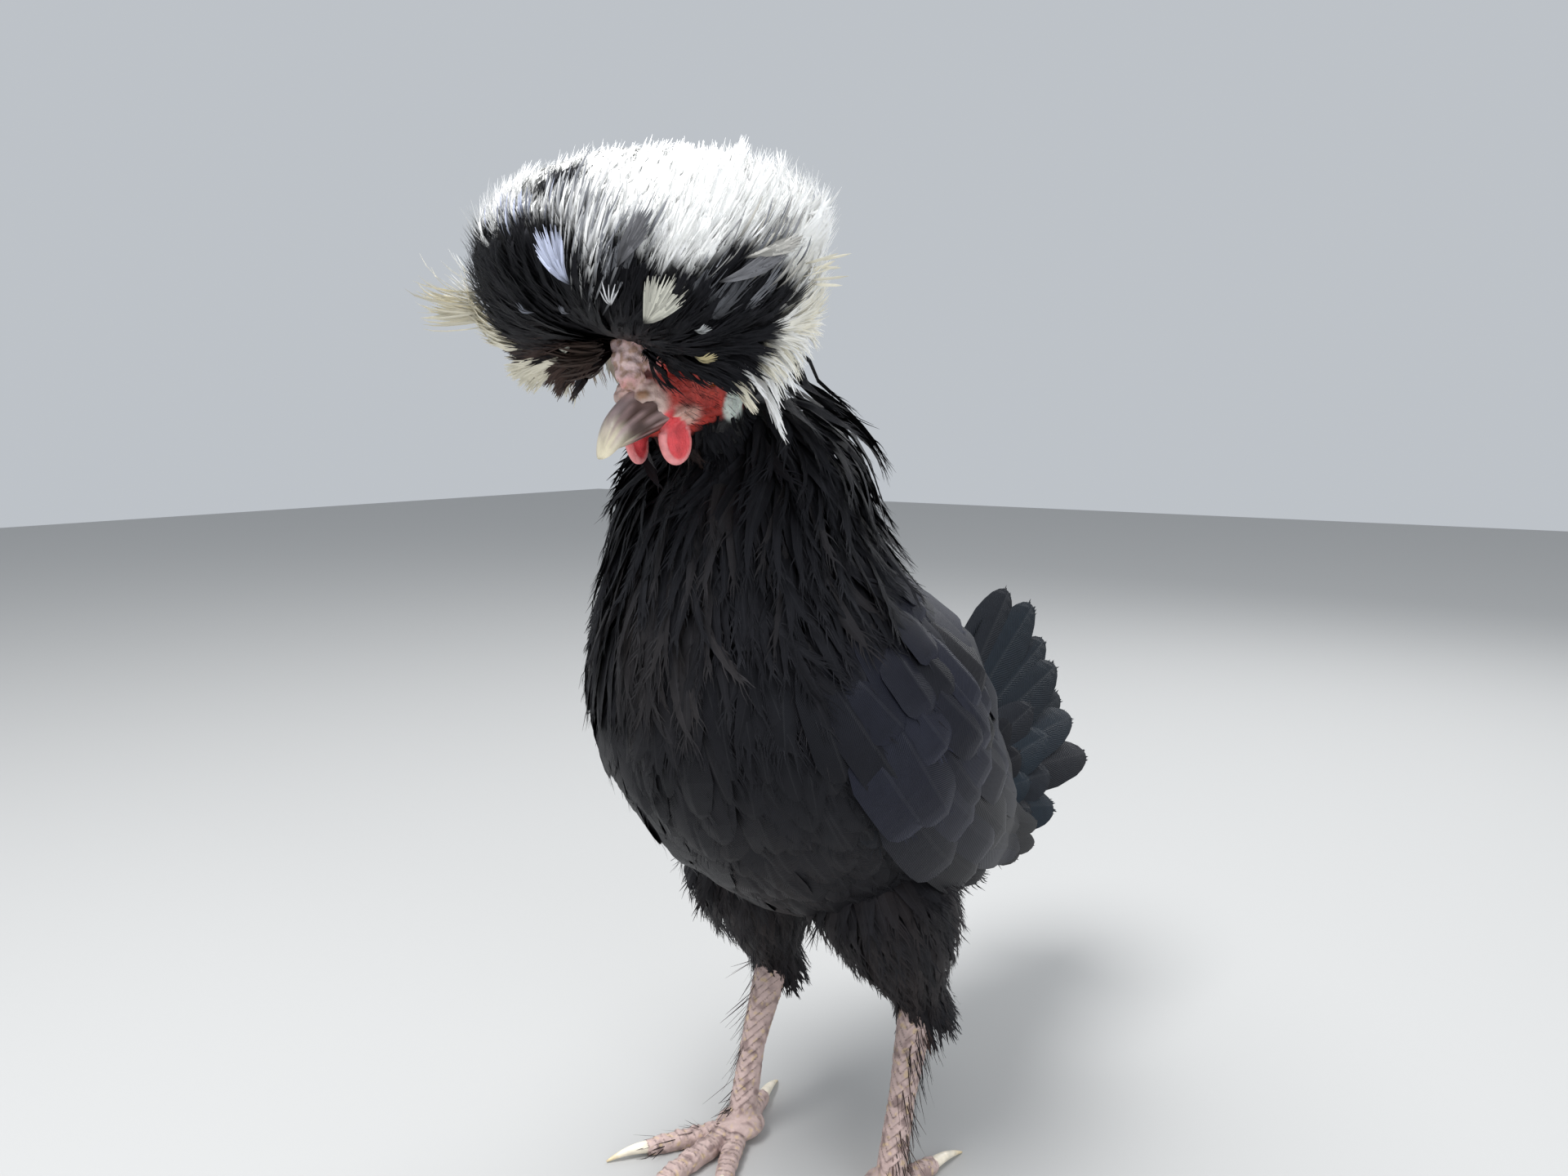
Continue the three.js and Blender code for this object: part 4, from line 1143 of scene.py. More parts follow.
def body_feathers(kept):
    """The feathers and their barbs at these places, by how much each is neck, belly or nape."""
    t, angle = kept.T
    count = len(t)
    over, aside = np.sin(np.radians(angle)), np.abs(np.cos(np.radians(angle)))
    neck = smooth(0.6, 0.74, t)
    belly = (1 - smooth(0.25, 0.42, t)) * smooth(0.1, 0.7, -over)
    nape = smooth(0.2, 0.9, over) * neck
    length = (28 - 8 * neck - 3 * belly + 6 * nape) * rng.uniform(0.8, 1.15, count)
    length = length * (1 - 0.45 * smooth(0.9, 1.0, t) * (1 - nape))
    width = (16.5 - 10.3 * neck - 4 * belly) * rng.uniform(0.8, 1.12, count)
    cape = smooth(0.7, 0.88, t) * smooth(-0.1, 0.6, over) * rng.uniform(0, 1, count) ** 0.45
    before_wing = smooth(0.52, 0.58, t) * smooth(0.76, 0.68, t) * smooth(0.45, 0.75, aside)
    tip = TIP_LIFT + rng.normal(0, 0.5 + 0.2 * neck, count) + 1.2 * belly + 0.8 * neck
    tip = tip + 8.0 * cape + 2.2 * before_wing
    root = ROOT_DEPTH + rng.normal(0, 0.5, count) + 5.0 * cape
    drift = rng.normal(0, 5 + 6 * neck)
    points, out = lie(t, angle, length, root, tip, drift, 0.7 - 0.35 * cape)
    tint = body_tint(t, angle, neck, belly)
    roll = rng.normal(0, 0.14 + 0.12 * neck)
    where = np.stack([(angle / 360) % 1, np.clip(t, 0, 1)], -1)
    stops, narrow = points.shape[1], neck[:, None]
    s = shares(stops)[None]
    half = width[:, None] / 2 * (narrow * pointed(s) + (1 - narrow) * rounded(s))
    half = half * (1 - (0.1 + 0.14 * belly + 0.1 * neck)[:, None] * rng.random(half.shape))
    batch = strips(points, out, half, at_stops(tint, stops), where, roll)
    reach = width * (0.36 + 0.4 * belly + 0.6 * neck)
    loose = barbs(batch, 15, reach, start=0.3, spread=(14, 44), lift=0.07, thick=0.2, vary=0.35)
    return [batch, loose]


for name, kept in coat_pieces.items():
    plumage(name, body_feathers(kept), "torso", "neck")

# %% [markdown]
# Down closes the coat round the vent, under the tail, where the body's run ends in a ball. Each
# feather leaves the ball along its normal and is laid back and down over the ones below it.

# %% Down round the vent
def laid(at, normals, way, length, rise, sink=0.6, stops=4):
    """Paths that leave a surface at its points and lie along way."""
    way = np.broadcast_to(np.asarray(way, float), at.shape)
    level = way - normals * (way * normals).sum(1)[:, None]
    go = unit(level + rng.normal(0, 0.16, at.shape))
    s = shares(stops)[None, :, None]
    lift = rise[:, None, None] * s ** 1.3 - sink
    line = at[:, None] + go[:, None] * s * length[:, None, None] + normals[:, None] * lift
    return line, at_stops(normals, stops)


def vent_feathers(count=150):
    around = rng.uniform(0, 2 * math.pi, count)
    from_rear = np.radians(85) * rng.random(count) ** 0.6
    ring = np.sin(from_rear)
    normals = np.stack([ring * np.cos(around), np.cos(from_rear), ring * np.sin(around)], -1)
    at = VENT_AT + normals * VENT_RADII
    length = rng.uniform(13, 21, count)
    line, out = laid(at, normals, (0, 0.75, -0.66), length, rng.uniform(3, 9, count), 1.5, 6)
    tint = blend(black_tint(count, 0.15), BROWNISH, rng.random(count) * 0.5)
    where = np.stack([around / (2 * math.pi), 0.02 + 0 * around], -1)
    batch = vanes(line, out, rng.uniform(6, 10, count), tint, where, rounded, 0.25)
    return [batch, barbs(batch, 13, length * 0.3, start=0.3, spread=(14, 44), thick=0.2, vary=0.35)]


plumage("coat_vent", vent_feathers())

# %% [markdown]
# The thighs carry the same soft feathers, round a bar from hip to hock. The lower ones hang over
# the hock, which the breed's loose coat hides from the side.

# %% Thigh feathers
def thigh_feathers(side):
    stops, tiers, ring = 6, 20, 17
    along = np.repeat(np.linspace(0.02, 0.95, tiers), ring)
    count = len(along)
    turn = np.tile(np.arange(ring), tiers) * 2 * math.pi / ring
    turn = turn + np.repeat(np.arange(tiers) * 0.2, ring)
    turn = turn + rng.uniform(-0.12, 0.12, count)
    path, radii = np.array(THIGH, float), np.array(THIGH_RADII, float)
    s = along[:, None] + shares(stops)[None] * rng.uniform(0.28, 0.36, count)[:, None]
    knots = np.linspace(0, 1, len(THIGH))
    centre = np.stack([np.interp(np.minimum(s, 1), knots, path[:, i]) for i in range(3)], -1)
    past_hock = np.maximum(s - 1, 0)[..., None]
    centre = centre + past_hock * 62 * unit(path[3] - path[2])
    lift = -4.5 + 6 * shares(stops)[None] ** 0.7 + rng.normal(0, 0.7, count)[:, None]
    radius = np.interp(np.minimum(s, 1), knots, radii) + lift
    go = unit(path[3] - path[0])
    across = unit(np.cross(go, (0, 1, 0.2)))
    ahead = np.cross(go, across)
    out = across * np.cos(turn)[:, None] + ahead * np.sin(turn)[:, None]
    points = centre + out[:, None] * radius[..., None]
    flip = np.array([side, 1, 1])
    width = rng.uniform(7.5, 10.5, count) * (1 - 0.4 * along)
    where = np.stack([turn / (2 * math.pi) % 1, along], -1)
    tint = blend(black_tint(count), BROWNISH, rng.random(count) * 0.45)
    outs = at_stops(out * flip, stops)
    batch = vanes(points * flip, outs, width, tint, where, pointed, 0.3)
    return [batch, barbs(batch, 13, width * 0.8, start=0.3)]


for side, hand in SIDES:
    plumage("coat_thigh_" + hand, thigh_feathers(side), "thigh_" + hand)

# %% [markdown]
# ## Wings and tail
# The folded wing is tiers of stiff feathers on a bed that is broader than the body: long
# primaries and secondaries below, then greater, median and lesser coverts, each tier rounder and
# shorter than the one it covers. Their roots and tips are places on the body's own run.

# %% Wing tiers
WING_BED = (40, 32, 36)
WING_TIERS = [
    # count, width, first and last root (t, angle, lift), first and last tip
    (8, 11.5, (0.38, 0, 0.6), (0.37, -20, 0.6), (0.07, 13, 1.0), (0.035, -9, 1.0)),
    (11, 15, (0.46, 34, 1.4), (0.42, -24, 1.4), (0.20, 38, 3.0), (0.12, -9, 3.0)),
    (8, 21, (0.52, 36, 2.0), (0.47, -27, 2.0), (0.36, 39, 5.0), (0.30, -24, 5.0)),
    (8, 22, (0.57, 36, 2.4), (0.52, -28, 2.4), (0.44, 38, 6.4), (0.38, -26, 6.4)),
    (9, 20, (0.62, 36, 2.0), (0.57, -28, 2.0), (0.50, 38, 6.6), (0.45, -27, 6.6)),
    (10, 17, (0.66, 38, 0.8), (0.61, -30, 0.8), (0.56, 39, 5.0), (0.51, -30, 5.0)),
    (10, 14, (0.69, 40, -2.0), (0.65, -34, -2.0), (0.60, 42, 3.2), (0.56, -36, 3.2)),
]


def wing_feathers(side):
    """The tiers of one wing. Coverts are broader at the tip than the flights, and their tint is painted
    lighter at the tip, as a highlight on its edge, and darker towards the root, as shade under the tier
    above.
    """
    batches, stops, flip = [], 10, np.array([side, 1, 1])
    s = shares(stops)[None, :, None]
    for tier, (count, width, root_a, root_b, tip_a, tip_b) in enumerate(WING_TIERS):
        share = np.linspace(0, 1, count)[:, None]
        root = np.array(root_a) + (np.array(root_b) - root_a) * share
        root = root + rng.normal(0, (0.004, 0.8, 0.15), (count, 3))
        tip = np.array(tip_a) + (np.array(tip_b) - tip_a) * share
        tip = tip + rng.normal(0, (0.02, 2.4, 0.8), (count, 3))
        way = root[:, None] + (tip - root)[:, None] * np.concatenate([s, s, s ** 0.8], -1)
        t, angle, lift = way[..., 0], way[..., 1], way[..., 2]
        points = hide(t, angle, lift, WING_BED)
        out = unit(hide(t, angle, lift + 2, WING_BED) - points)
        wide = np.full(count, float(width)) * rng.uniform(0.92, 1.08, count)
        tint = blend(black_tint(count, 0.25), SHEEN_BLUE, rng.uniform(0.0, 0.7, count) * (tier > 0))
        # painted light: on the coverts the tint rises from 0.7 at the root to 1.4 at the tip, painted
        # shade under the covering tier and a painted highlight on the tip
        tip_light_and_root_shade = 0.7 + 0.7 * smooth(0.8, 1.0, shares(stops)) * (tier > 1)
        tint = tint[:, None] * tip_light_and_root_shade[None, :, None]
        where = np.stack([(root[:, 1] / 360) % 1, root[:, 0]], -1)
        outline = rounded if tier < 2 else broad
        roll = rng.normal(-0.10 * side, 0.05, count)
        batch = vanes(points * flip, out * flip, wide, tint, where, outline, 0.03, roll)
        loose = barbs(batch, 26, wide * 0.17, start=0.5, spread=(16, 34), lift=0.04, thick=0.2, vary=0.3)
        batches += [batch, loose]
    return batches


for side, hand in SIDES:
    plumage("plumes_wing_" + hand, wing_feathers(side), "wing_" + hand, thickness=0.05, camber=0.2)

# %% [markdown]
# The tail stands up at the back as pairs of long vanes side by side, held like a half-closed fan,
# and coverts of falling length lie over their roots. Each vane is placed by its rank, counted
# outwards from the middle pair.

# %% Tail
TAIL_TIERS = [
    # pairs, first rank, rise in degrees and its step, length and its step, width
    (7, 0, 43, -6.4, 100, -2.4, 22),
    (4, 4.2, 34, -12, 62, -4, 20),
    (4, 5.0, 46, -15, 46, -3, 17),
    (4, 6.0, 28, -15, 34, -2, 15),
]
TAIL_SAG = np.array([0, 0, 4.0])


def tail_feather(tier, k, side):
    _, first, rise, rise_step, length, length_step, width = TAIL_TIERS[tier]
    stops = 12
    rank = first + k * (0.72 if tier == 0 else 1.0)
    up = math.radians(rise + rise_step * k + rng.normal(0, 1.2))
    out = math.radians(1 + 3.2 * rank + rng.normal(0, 0.8)) * side
    go = np.array([math.sin(out), math.cos(out) * math.cos(up), math.cos(out) * math.sin(up)])
    root = TAIL_ROOT + np.array([(2 + 2.0 * rank) * side, -2.5 * tier, -1.6 * rank])
    s = shares(stops)[:, None]
    straight = go * (length + length_step * k) * rng.uniform(0.96, 1.03) * s
    line = root + straight - TAIL_SAG * s ** 2
    outs = np.repeat(unit(np.array([[0.86 * side, 0, 0.5]])), stops, 0)
    where = np.array([[0.25 + 0.02 * rank * side, 0.02 + 0.01 * tier]])
    tint = blend(black_tint(1, 0.2), SHEEN_TEAL, np.array([0.3 * rng.random()]))
    wide, roll = np.array([width * rng.uniform(0.92, 1.06)]), rng.normal(0, 0.06)
    batch = vanes(line[None], outs[None], wide, tint, where, rounded, 0.05, roll)
    reach = np.array([width * 0.1])
    return [batch, barbs(batch, 54, reach, start=0.3, spread=(16, 30), lift=0.04, thick=0.3)]


tail_feathers = []
for tier, (pairs, *_) in enumerate(TAIL_TIERS):
    for k in range(pairs):
        for side, _ in SIDES:
            tail_feathers += tail_feather(tier, k, side)
plumage("plumes_tail", tail_feathers, "tail", thickness=0.05)

# %% [markdown]
# ## Small feathers and bristles
# Round the bare face the feathers are a few millimetres long: they close the throat, the nape and
# the ear. Fine bristles stand on the cheeks, and dark hair-like feathers run down the outside of
# each shank to the outer toe. All of them root on the skin's own points and follow its slope.

# %% Feathers and bristles of the head
BILL_AND_COMB = (0, -21, 8), (8, 7, 14)
BROWN_CHIN = (0, -13, -12), (9, 8, 6)
CHIN_BROWN, HAIR_BROWN = linear(66, 50, 42), linear(70, 50, 40)


def on_mesh(piece, weight, count):
    """Points of a piece and their normals, drawn by weight, in the bird's millimetres."""
    at, normals = points_of(piece.data) / MM - ORIGIN, normals_of(piece.data)
    chance = np.clip(weight(at, normals), 0, None)
    most = min(count, int((chance > 0).sum()))
    pick = rng.choice(len(at), most, replace=False, p=chance / chance.sum())
    return at[pick], normals[pick]


def head_unwrap(at):
    p = to_head(at)
    turn = np.arctan2(p[:, 0], -p[:, 1]) / (2 * math.pi) + 0.5
    rise = np.arctan2(p[:, 2], np.hypot(p[:, 0], p[:, 1])) / math.pi + 0.5
    return np.stack([turn, rise], -1)


def feathered(at, _):
    """Where the head is feathered: round the bare face and below the crest."""
    p = to_head(at)
    return (1 - bare_part(p)) * (np.linalg.norm(p, axis=1) < 30) * (p[:, 2] < 12) * (p[:, 1] > -17)


def bristly(at, _):
    """Where bristles grow: the bare cheeks, without wattles, bill, comb, eyes and earlobes."""
    p = to_head(at)
    clear = near(p, WATTLE_AT, (3, 6, 9)) + near(p, *BILL_AND_COMB) + near(p, LIDS[0], (4, 5, 5))
    lobe = near(p, LOBE_AT, (3, 4, 5.2))
    return bare_part(p) * (1 - np.clip(clear, 0, 1)) * (1 - lobe) * (p[:, 1] > -16)


def short_feathers(count=1150):
    at, normals = on_mesh(skin, feathered, count)
    count, p = len(at), to_head(at)
    way = np.stack([0 * p[:, 0], 0.5 + 0.02 * p[:, 1], -0.9 + 0 * p[:, 1]], -1)
    size = 5.5 + 5 * smooth(-8, -20, p[:, 2]) + 4 * smooth(5, 16, p[:, 1])
    length = size * rng.uniform(0.8, 1.2, count)
    line, out = laid(at, normals, way, length, rng.uniform(0.6, 2.2, count))
    tint = blend(black_tint(count), CHIN_BROWN, near(p, *BROWN_CHIN) * rng.random(count))
    roll = rng.normal(0, 0.2, count)
    batch = vanes(line, out, length * 0.42, tint, head_unwrap(at), pointed, 0.2, roll)
    return [batch, barbs(batch, 4, length * 0.3, thick=0.16)]


def bristles(count=760):
    at, normals = on_mesh(skin, bristly, count)
    count = len(at)
    length, rise = rng.uniform(1.6, 4.6, count), rng.uniform(0.3, 0.9, count)
    line, out = laid(at, normals, (0, 1, -0.35), length, rise, 0.2, 3)
    width = rng.uniform(0.16, 0.3, count)
    return [vanes(line, out, width, black_tint(count) * 1.6, head_unwrap(at), pointed)]


plumage("coat_face", short_feathers() + bristles())

# %% Hairs of the shanks
def outer_toe(flat):
    """Points on the outer toe, by where they are from the foot's middle."""
    go, out = toe_axes(TOES["outer"])
    return (np.abs(flat @ out) < 4) * (flat @ go > 2)


def shank_hairs(side, foot):
    def outside(at, normals):
        p = at * (side, 1, 1)
        shank = (p[:, 2] > 8) * (normals[:, 0] * side > 0.1)
        return shank * 1.0 + outer_toe(p[:, :2] - FOOT[:2]) * (normals[:, 2] > 0) * 0.6

    at, normals = on_mesh(foot, outside, 240)
    count, low = len(at), at[:, 2] < 12
    way = np.where(low[:, None], (0.7 * side, -0.8, -0.25), (0.35 * side, -0.1, -1.0))
    length = np.where(low, rng.uniform(5, 11, count), rng.uniform(8, 16, count))
    rise = rng.uniform(0.5, 2.2, count) * np.where(low, 0.5, 1)
    line, out = laid(at, normals, way, length, rise, 0.4, 5)
    line[..., 2] = np.maximum(line[..., 2], 0.4)
    turn = (np.arctan2(normals[:, 0], normals[:, 1]) / (2 * math.pi)) % 1
    where = np.stack([turn, np.clip(at[:, 2] / 70, 0, 1)], -1)
    tint = blend(black_tint(count), HAIR_BROWN, rng.random(count))
    return [vanes(line, out, rng.uniform(0.25, 0.6, count), tint, where, pointed, 0.1)]


for side, hand in SIDES:
    plumage("coat_shank_" + hand, shank_hairs(side, feet[hand]))

# %% [markdown]
# ## The crest
# The crest gives the breed its name: long feathers that root on a knob of the skull, arch out
# and fall as a globe. On this hen they part above the comb and fan from there over the globe,
# black in front and white on the crown and behind, with grey feathers where the colours meet.
# Tips are spread evenly over the globe, and each feather curves from the knob to its tip.

# %% The globe and its feathers
CREST_AT = np.array([0.0, -7.5, 35.5])
CREST_SIDE, CREST_FRONT, CREST_BACK, CREST_UP, CREST_DOWN = 47.0, 42.5, 45.5, 26.5, 34.0
PARTING = (0.0, 137.0)
DROOP, FULL_SPAN = 0.7, 45


def heading(turn, fall):
    """A direction from the globe's middle: turn from the front to the left, fall from the top."""
    turn, fall = np.radians(turn), np.radians(fall)
    return np.stack([np.sin(fall) * np.sin(turn), -np.sin(fall) * np.cos(turn), np.cos(fall)], -1)


def crown(turn, fall, reach=1.0):
    """Points of the globe in the head's frame, tucked in round the parting above the comb."""
    around = np.radians(turn)
    hang = np.maximum(0, fall - 90) / 60
    ring = np.where(fall < 90, np.sin(np.radians(np.minimum(fall, 90))) ** 0.92, 1 - 0.22 * hang ** 2)
    above = np.cos(np.radians(fall)) * (CREST_UP - 2.5 * ring * np.sin(around))
    height = np.where(fall < 90, above, (0.3 * hang ** 2 - 1.3 * hang) * CREST_DOWN)
    fore = np.where(np.cos(around) > 0, CREST_FRONT, CREST_BACK)
    local = np.stack([ring * np.sin(around) * CREST_SIDE, -ring * np.cos(around) * fore, height], -1)
    towards = (heading(turn, fall) * heading(*PARTING)).sum(-1)
    apart = np.degrees(np.arccos(np.clip(towards, -1, 1)))
    cleft = np.exp(-((turn - 4) / 9) ** 2) * smooth(62, 100, fall)
    tuck = 1 - 0.52 * np.exp(-(apart / 27) ** 2) - 0.07 * cleft
    return CREST_AT + local * (tuck * reach)[..., None]


def crest_paths(turn, fall, reach, close, stops=9):
    """Curves from the knob to tips on the globe, and their spans. They arrive along the way from
    the parting, the further outside the globe the higher close is, and droop at its sides."""
    tip = crown(turn, fall, reach)
    here, source = heading(turn, fall), heading(*PARTING)
    away = np.arccos(np.clip((here * source).sum(-1), -1, 1))
    share = np.maximum(away - 0.12, 0.0) / np.maximum(away, 1e-3)
    mid = unit(np.sin((1 - share) * away)[:, None] * source + np.sin(share * away)[:, None] * here)
    mid_turn = np.degrees(np.arctan2(mid[:, 0], -mid[:, 1]))
    tangent = unit(tip - crown(mid_turn, np.degrees(np.arccos(np.clip(mid[:, 2], -1, 1))), reach))
    hangs = DROOP * smooth(96, 150, fall) * smooth(30, 95, np.abs(turn))
    tangent = unit(tangent + (np.array([0, -0.15, -1.0]) - tangent) * hangs[:, None])
    start = KNOB_AT + heading(turn, np.minimum(fall * 0.62, 82)) * KNOB_RADII * 0.82
    span = np.linalg.norm(tip - start, axis=1)[:, None]
    first = start + unit(start - KNOB_AT) * span * 0.34
    close = np.asarray(close).reshape(-1, 1)
    last = tip - tangent * span * 0.46 + unit(tip - CREST_AT) * close * span / FULL_SPAN
    s = shares(stops)[None, :, None]
    start, first, last, tip = (p[:, None] for p in (start, first, last, tip))
    path = start * (1 - s) ** 3 + 3 * first * s * (1 - s) ** 2
    path = path + 3 * last * s ** 2 * (1 - s) + tip * s ** 3
    return path, span[:, 0]


print("the globe is", 2 * CREST_SIDE, "mm wide and", CREST_FRONT + CREST_BACK, "mm long")

# %% [markdown]
# Where black ends and white begins is a rule of turn and fall, read from the landmarks of this
# hen's crest: two black lobes with a cleft of grey streaks between them, a black patch high on
# the crown, and white behind and below. A grey feather is dark at its root and pale at its tip.

# %% The crest's colours
BLACK_ENDS_ABOVE = (
    # turns, and the fall at which black begins at each
    [-110, -60, -35, -18, -9, -1, 10, 18, 24, 30, 36, 42, 50, 57, 65, 76, 85, 92, 105, 125],
    [80, 64, 58, 58, 53, 54, 58, 66, 76, 70, 77, 88, 92, 91, 84, 90, 98, 104, 112, 120],
)
WHITE, CREAM, SILVER = linear(254, 254, 252), linear(240, 234, 214), linear(158, 160, 166)
FRINGE_BROWN = linear(70, 52, 44)


def place_on_globe(path):
    """Turn and fall of points in the head's frame, as the globe counts them."""
    local = path - CREST_AT
    fore = np.where(local[..., 1] < 0, CREST_FRONT, CREST_BACK)
    x, y = local[..., 0] / CREST_SIDE, local[..., 1] / fore
    above = np.degrees(np.arctan2(np.hypot(x, y), local[..., 2] / CREST_UP))
    below = 90 - 54 * local[..., 2] / CREST_DOWN
    return np.degrees(np.arctan2(x, -y)), np.where(local[..., 2] > 0, above, below)


def paleness(points, wander):
    """How white points of the crest are, from their depth in the black in degrees."""
    at_turn, at_fall = place_on_globe(points)
    depth = at_fall - np.interp(at_turn, *BLACK_ENDS_ABOVE) + wander
    low_left, low_right = np.maximum(0, at_fall - 104), np.clip(at_fall - 112, 0, 18)
    edge = np.where(at_turn > 0, 95 - 0.45 * low_left, 100 - 2.6 * low_right)
    depth = np.minimum(depth, edge + wander - np.abs(at_turn))
    patch = 13 - np.hypot((at_turn + 3) * 0.95, at_fall - 36)
    depth = np.maximum(depth, patch + wander / 4)
    return 1 - smooth(-2.5, 2.5, depth)


def crest_colours(path, turn, fall):
    """The black and the white of each feather, how white it is along its length, and whether
    it is a grey one, dark at its root."""
    count, stops = path.shape[:2]
    wander = rng.normal(0, 2.0, (count, 1))
    pale = paleness(path, wander)
    fan = (np.hypot((turn - 74) / 19, (fall - 95) / 9) < 1) & (rng.random(count) < 0.75)
    fan |= (np.hypot((turn - 33) / 9, (fall - 74) / 8) < 1) & (rng.random(count) < 0.5)
    grey = smooth(0.35, 0.9, shares(stops)[None]) * rng.uniform(0.3, 1.0, (count, 1))
    white = WHITE[None] * (1 + 0.015 * rng.normal(0, 1, count))[:, None]
    white = blend(white, CREAM, smooth(80, 120, fall) * smooth(150, 110, np.abs(turn)) * rng.random(count))
    white = np.where(fan[:, None], SILVER * rng.uniform(0.5, 1.2, (count, 1)), white)
    brown = smooth(104, 128, fall) * smooth(20, -40, turn) * rng.random(count)
    black = blend(black_tint(count, 0.3), FRINGE_BROWN, brown)
    return black, white, np.where(fan[:, None], grey, pale), fan, wander


def mixed(black, white, pale):
    return black[:, None] + (white - black)[:, None] * pale[..., None]


samples = crown(np.array([0, 20, 180]), np.array([5, 90, 90]))
print("how white the crest is on top, in front and behind:", paleness(samples, 0))

# %% [markdown]
# A crest feather tapers towards both ends, and its loose barbs leave it at small angles. A barb
# of a two-coloured feather takes its colour from where it lies itself, which keeps the line
# between black and white sharp. Tips are drawn ring by ring, down to the globe's lower edge.

# %% Feathers of the crest
BARB_SHARE, BARB_LEAST, BARB_MOST = 0.19, 4.0, 9.0
RING_RADIUS = 42
LOWER_EDGE = (
    # turns, and the fall at which the globe ends at each
    [-180, -135, -105, -85, -60, -25, -12, -5, 0, 12, 25, 60, 85, 105, 135, 180],
    [160, 158, 152, 150, 156, 158, 152, 130, 116, 124, 150, 160, 150, 152, 158, 160],
)


def tapered(s):
    return np.minimum(1, 0.3 + 1.5 * s) * np.clip(1 - s ** 2.6, 0, 1) ** 0.8


def crest_tufts(turn, fall, reach, width, barb_count, close=3.0, tint=None):
    """Vanes and barbs of crest feathers with tips at these places, each barb's owner, and which
    feathers are pale. A tint takes over from the colours beyond a third of the length."""
    path, span = crest_paths(turn, fall, reach, close)
    count, stops = path.shape[:2]
    out = unit(path - (CREST_AT - (0, 0, 12)))
    wide = np.minimum(width, span * 0.2) * rng.uniform(0.75, 1.15, count)
    black, white, pale, grey, wander = crest_colours(path, turn, fall)
    own = mixed(black, white, pale)
    if tint is not None:
        own = own + (tint - own) * smooth(0.3, 0.62, shares(stops))[None, :, None]
    is_pale = own[:, -3:].mean((1, 2)) > 0.25
    where = np.stack([(turn / 360) % 1, np.clip(fall, 0, 179) / 180], -1)
    path, out = from_head(path), from_head(out) - HEAD_AT
    batch = vanes(path, out, wide, own, where, tapered, 0.15, rng.normal(0, 0.12, count))
    length = np.clip(span * BARB_SHARE, BARB_LEAST, BARB_MOST) * (1 - 0.4 * smooth(60, 20, fall))
    loose = barbs(batch, barb_count, length, 0.25, (3, 17), 0.05, 0.21, mix=0.06, vary=0.06)
    owner = np.repeat(np.arange(count), barb_count)
    if tint is None:
        by_place = mixed(black[owner], white[owner], paleness(to_head(loose["points"]), wander[owner]))
        vary = rng.uniform(0.6, 1.4, (len(owner), 1, 1))
        by_place = by_place * vary ** (1 - by_place.mean((1, 2), keepdims=True))
        loose["tint"] = np.where(grey[owner][:, None, None], loose["tint"], by_place)
    return [(batch, loose, owner, is_pale, turn)]


def globe_tips(gap, low=0):
    """Tips spread evenly over the globe, down to its lower edge and this much lower."""
    found, fall = [], 5.0
    while fall < 175:
        ring = math.sin(math.radians(min(fall, 90)))
        count = max(4, int(2 * math.pi * CREST_SIDE * ring / gap))
        turn = (np.arange(count) + rng.random()) * 360 / count
        turn = turn + rng.uniform(-0.4, 0.4, count) * 360 / count
        found.append(np.stack([(turn + 180) % 360 - 180, fall + rng.normal(0, 2.5, count)], -1))
        fall += math.degrees(gap / RING_RADIUS)
    tips = np.concatenate(found)
    edge = np.interp(tips[:, 0], *LOWER_EDGE) + low + rng.normal(0, 5, len(tips))
    return tips[tips[:, 1] < edge].T


def scattered(count, turn, fall, spread):
    """Places round one place, with a spread in turn and one in fall."""
    return turn + rng.normal(0, spread[0], count), fall + rng.normal(0, spread[1], count)


print("the globe's lower edge lies at a fall of up to", max(LOWER_EDGE[1]), "degrees")

# %% [markdown]
# The globe is built from within: an under layer of broad feathers, three outer layers of finer
# ones and a few narrow ones over them. Then come the tufts that this hen shows: cream ones at
# the crest's right, brown ones below it, white locks that hang behind the left cheek, and loose
# white ones behind, at the side and in front of the crown.

# %% Layers and tufts of the crest
TUFTS = [
    # feathers, place, spread, reach, width, close, tint
    (12, (-53, 99), (5, 4), 1.05, 6, 1, CREAM),
    (24, (-61, 135), (7, 6), 1.03, 8, 2, CREAM),
    (14, (-34, 147), (9, 3), 1.0, 6, 1, linear(72, 54, 46)),
    (14, (90, 150), (5, 5), 0.97, 6, 2, WHITE),
    (3, (96, 170), (0.7, 0.8), 1.15, 3.0, 1, WHITE),
    (3, (95, 167), (1.0, 1.0), 1.08, 3.4, 1, WHITE),
    (4, (92, 162), (1.5, 1.5), 1.03, 4.0, 1, WHITE),
    (5, (77, 160), (1.5, 1.5), 1.0, 4.0, 1, CREAM),
    (14, (128, 86), (16, 14), 1.03, 6, -1, WHITE),
    (10, (112, 38), (16, 12), 1.05, 6, -1, WHITE),
    (18, (-25, 43), (8, 4), 1.03, 6, 2, WHITE),
]


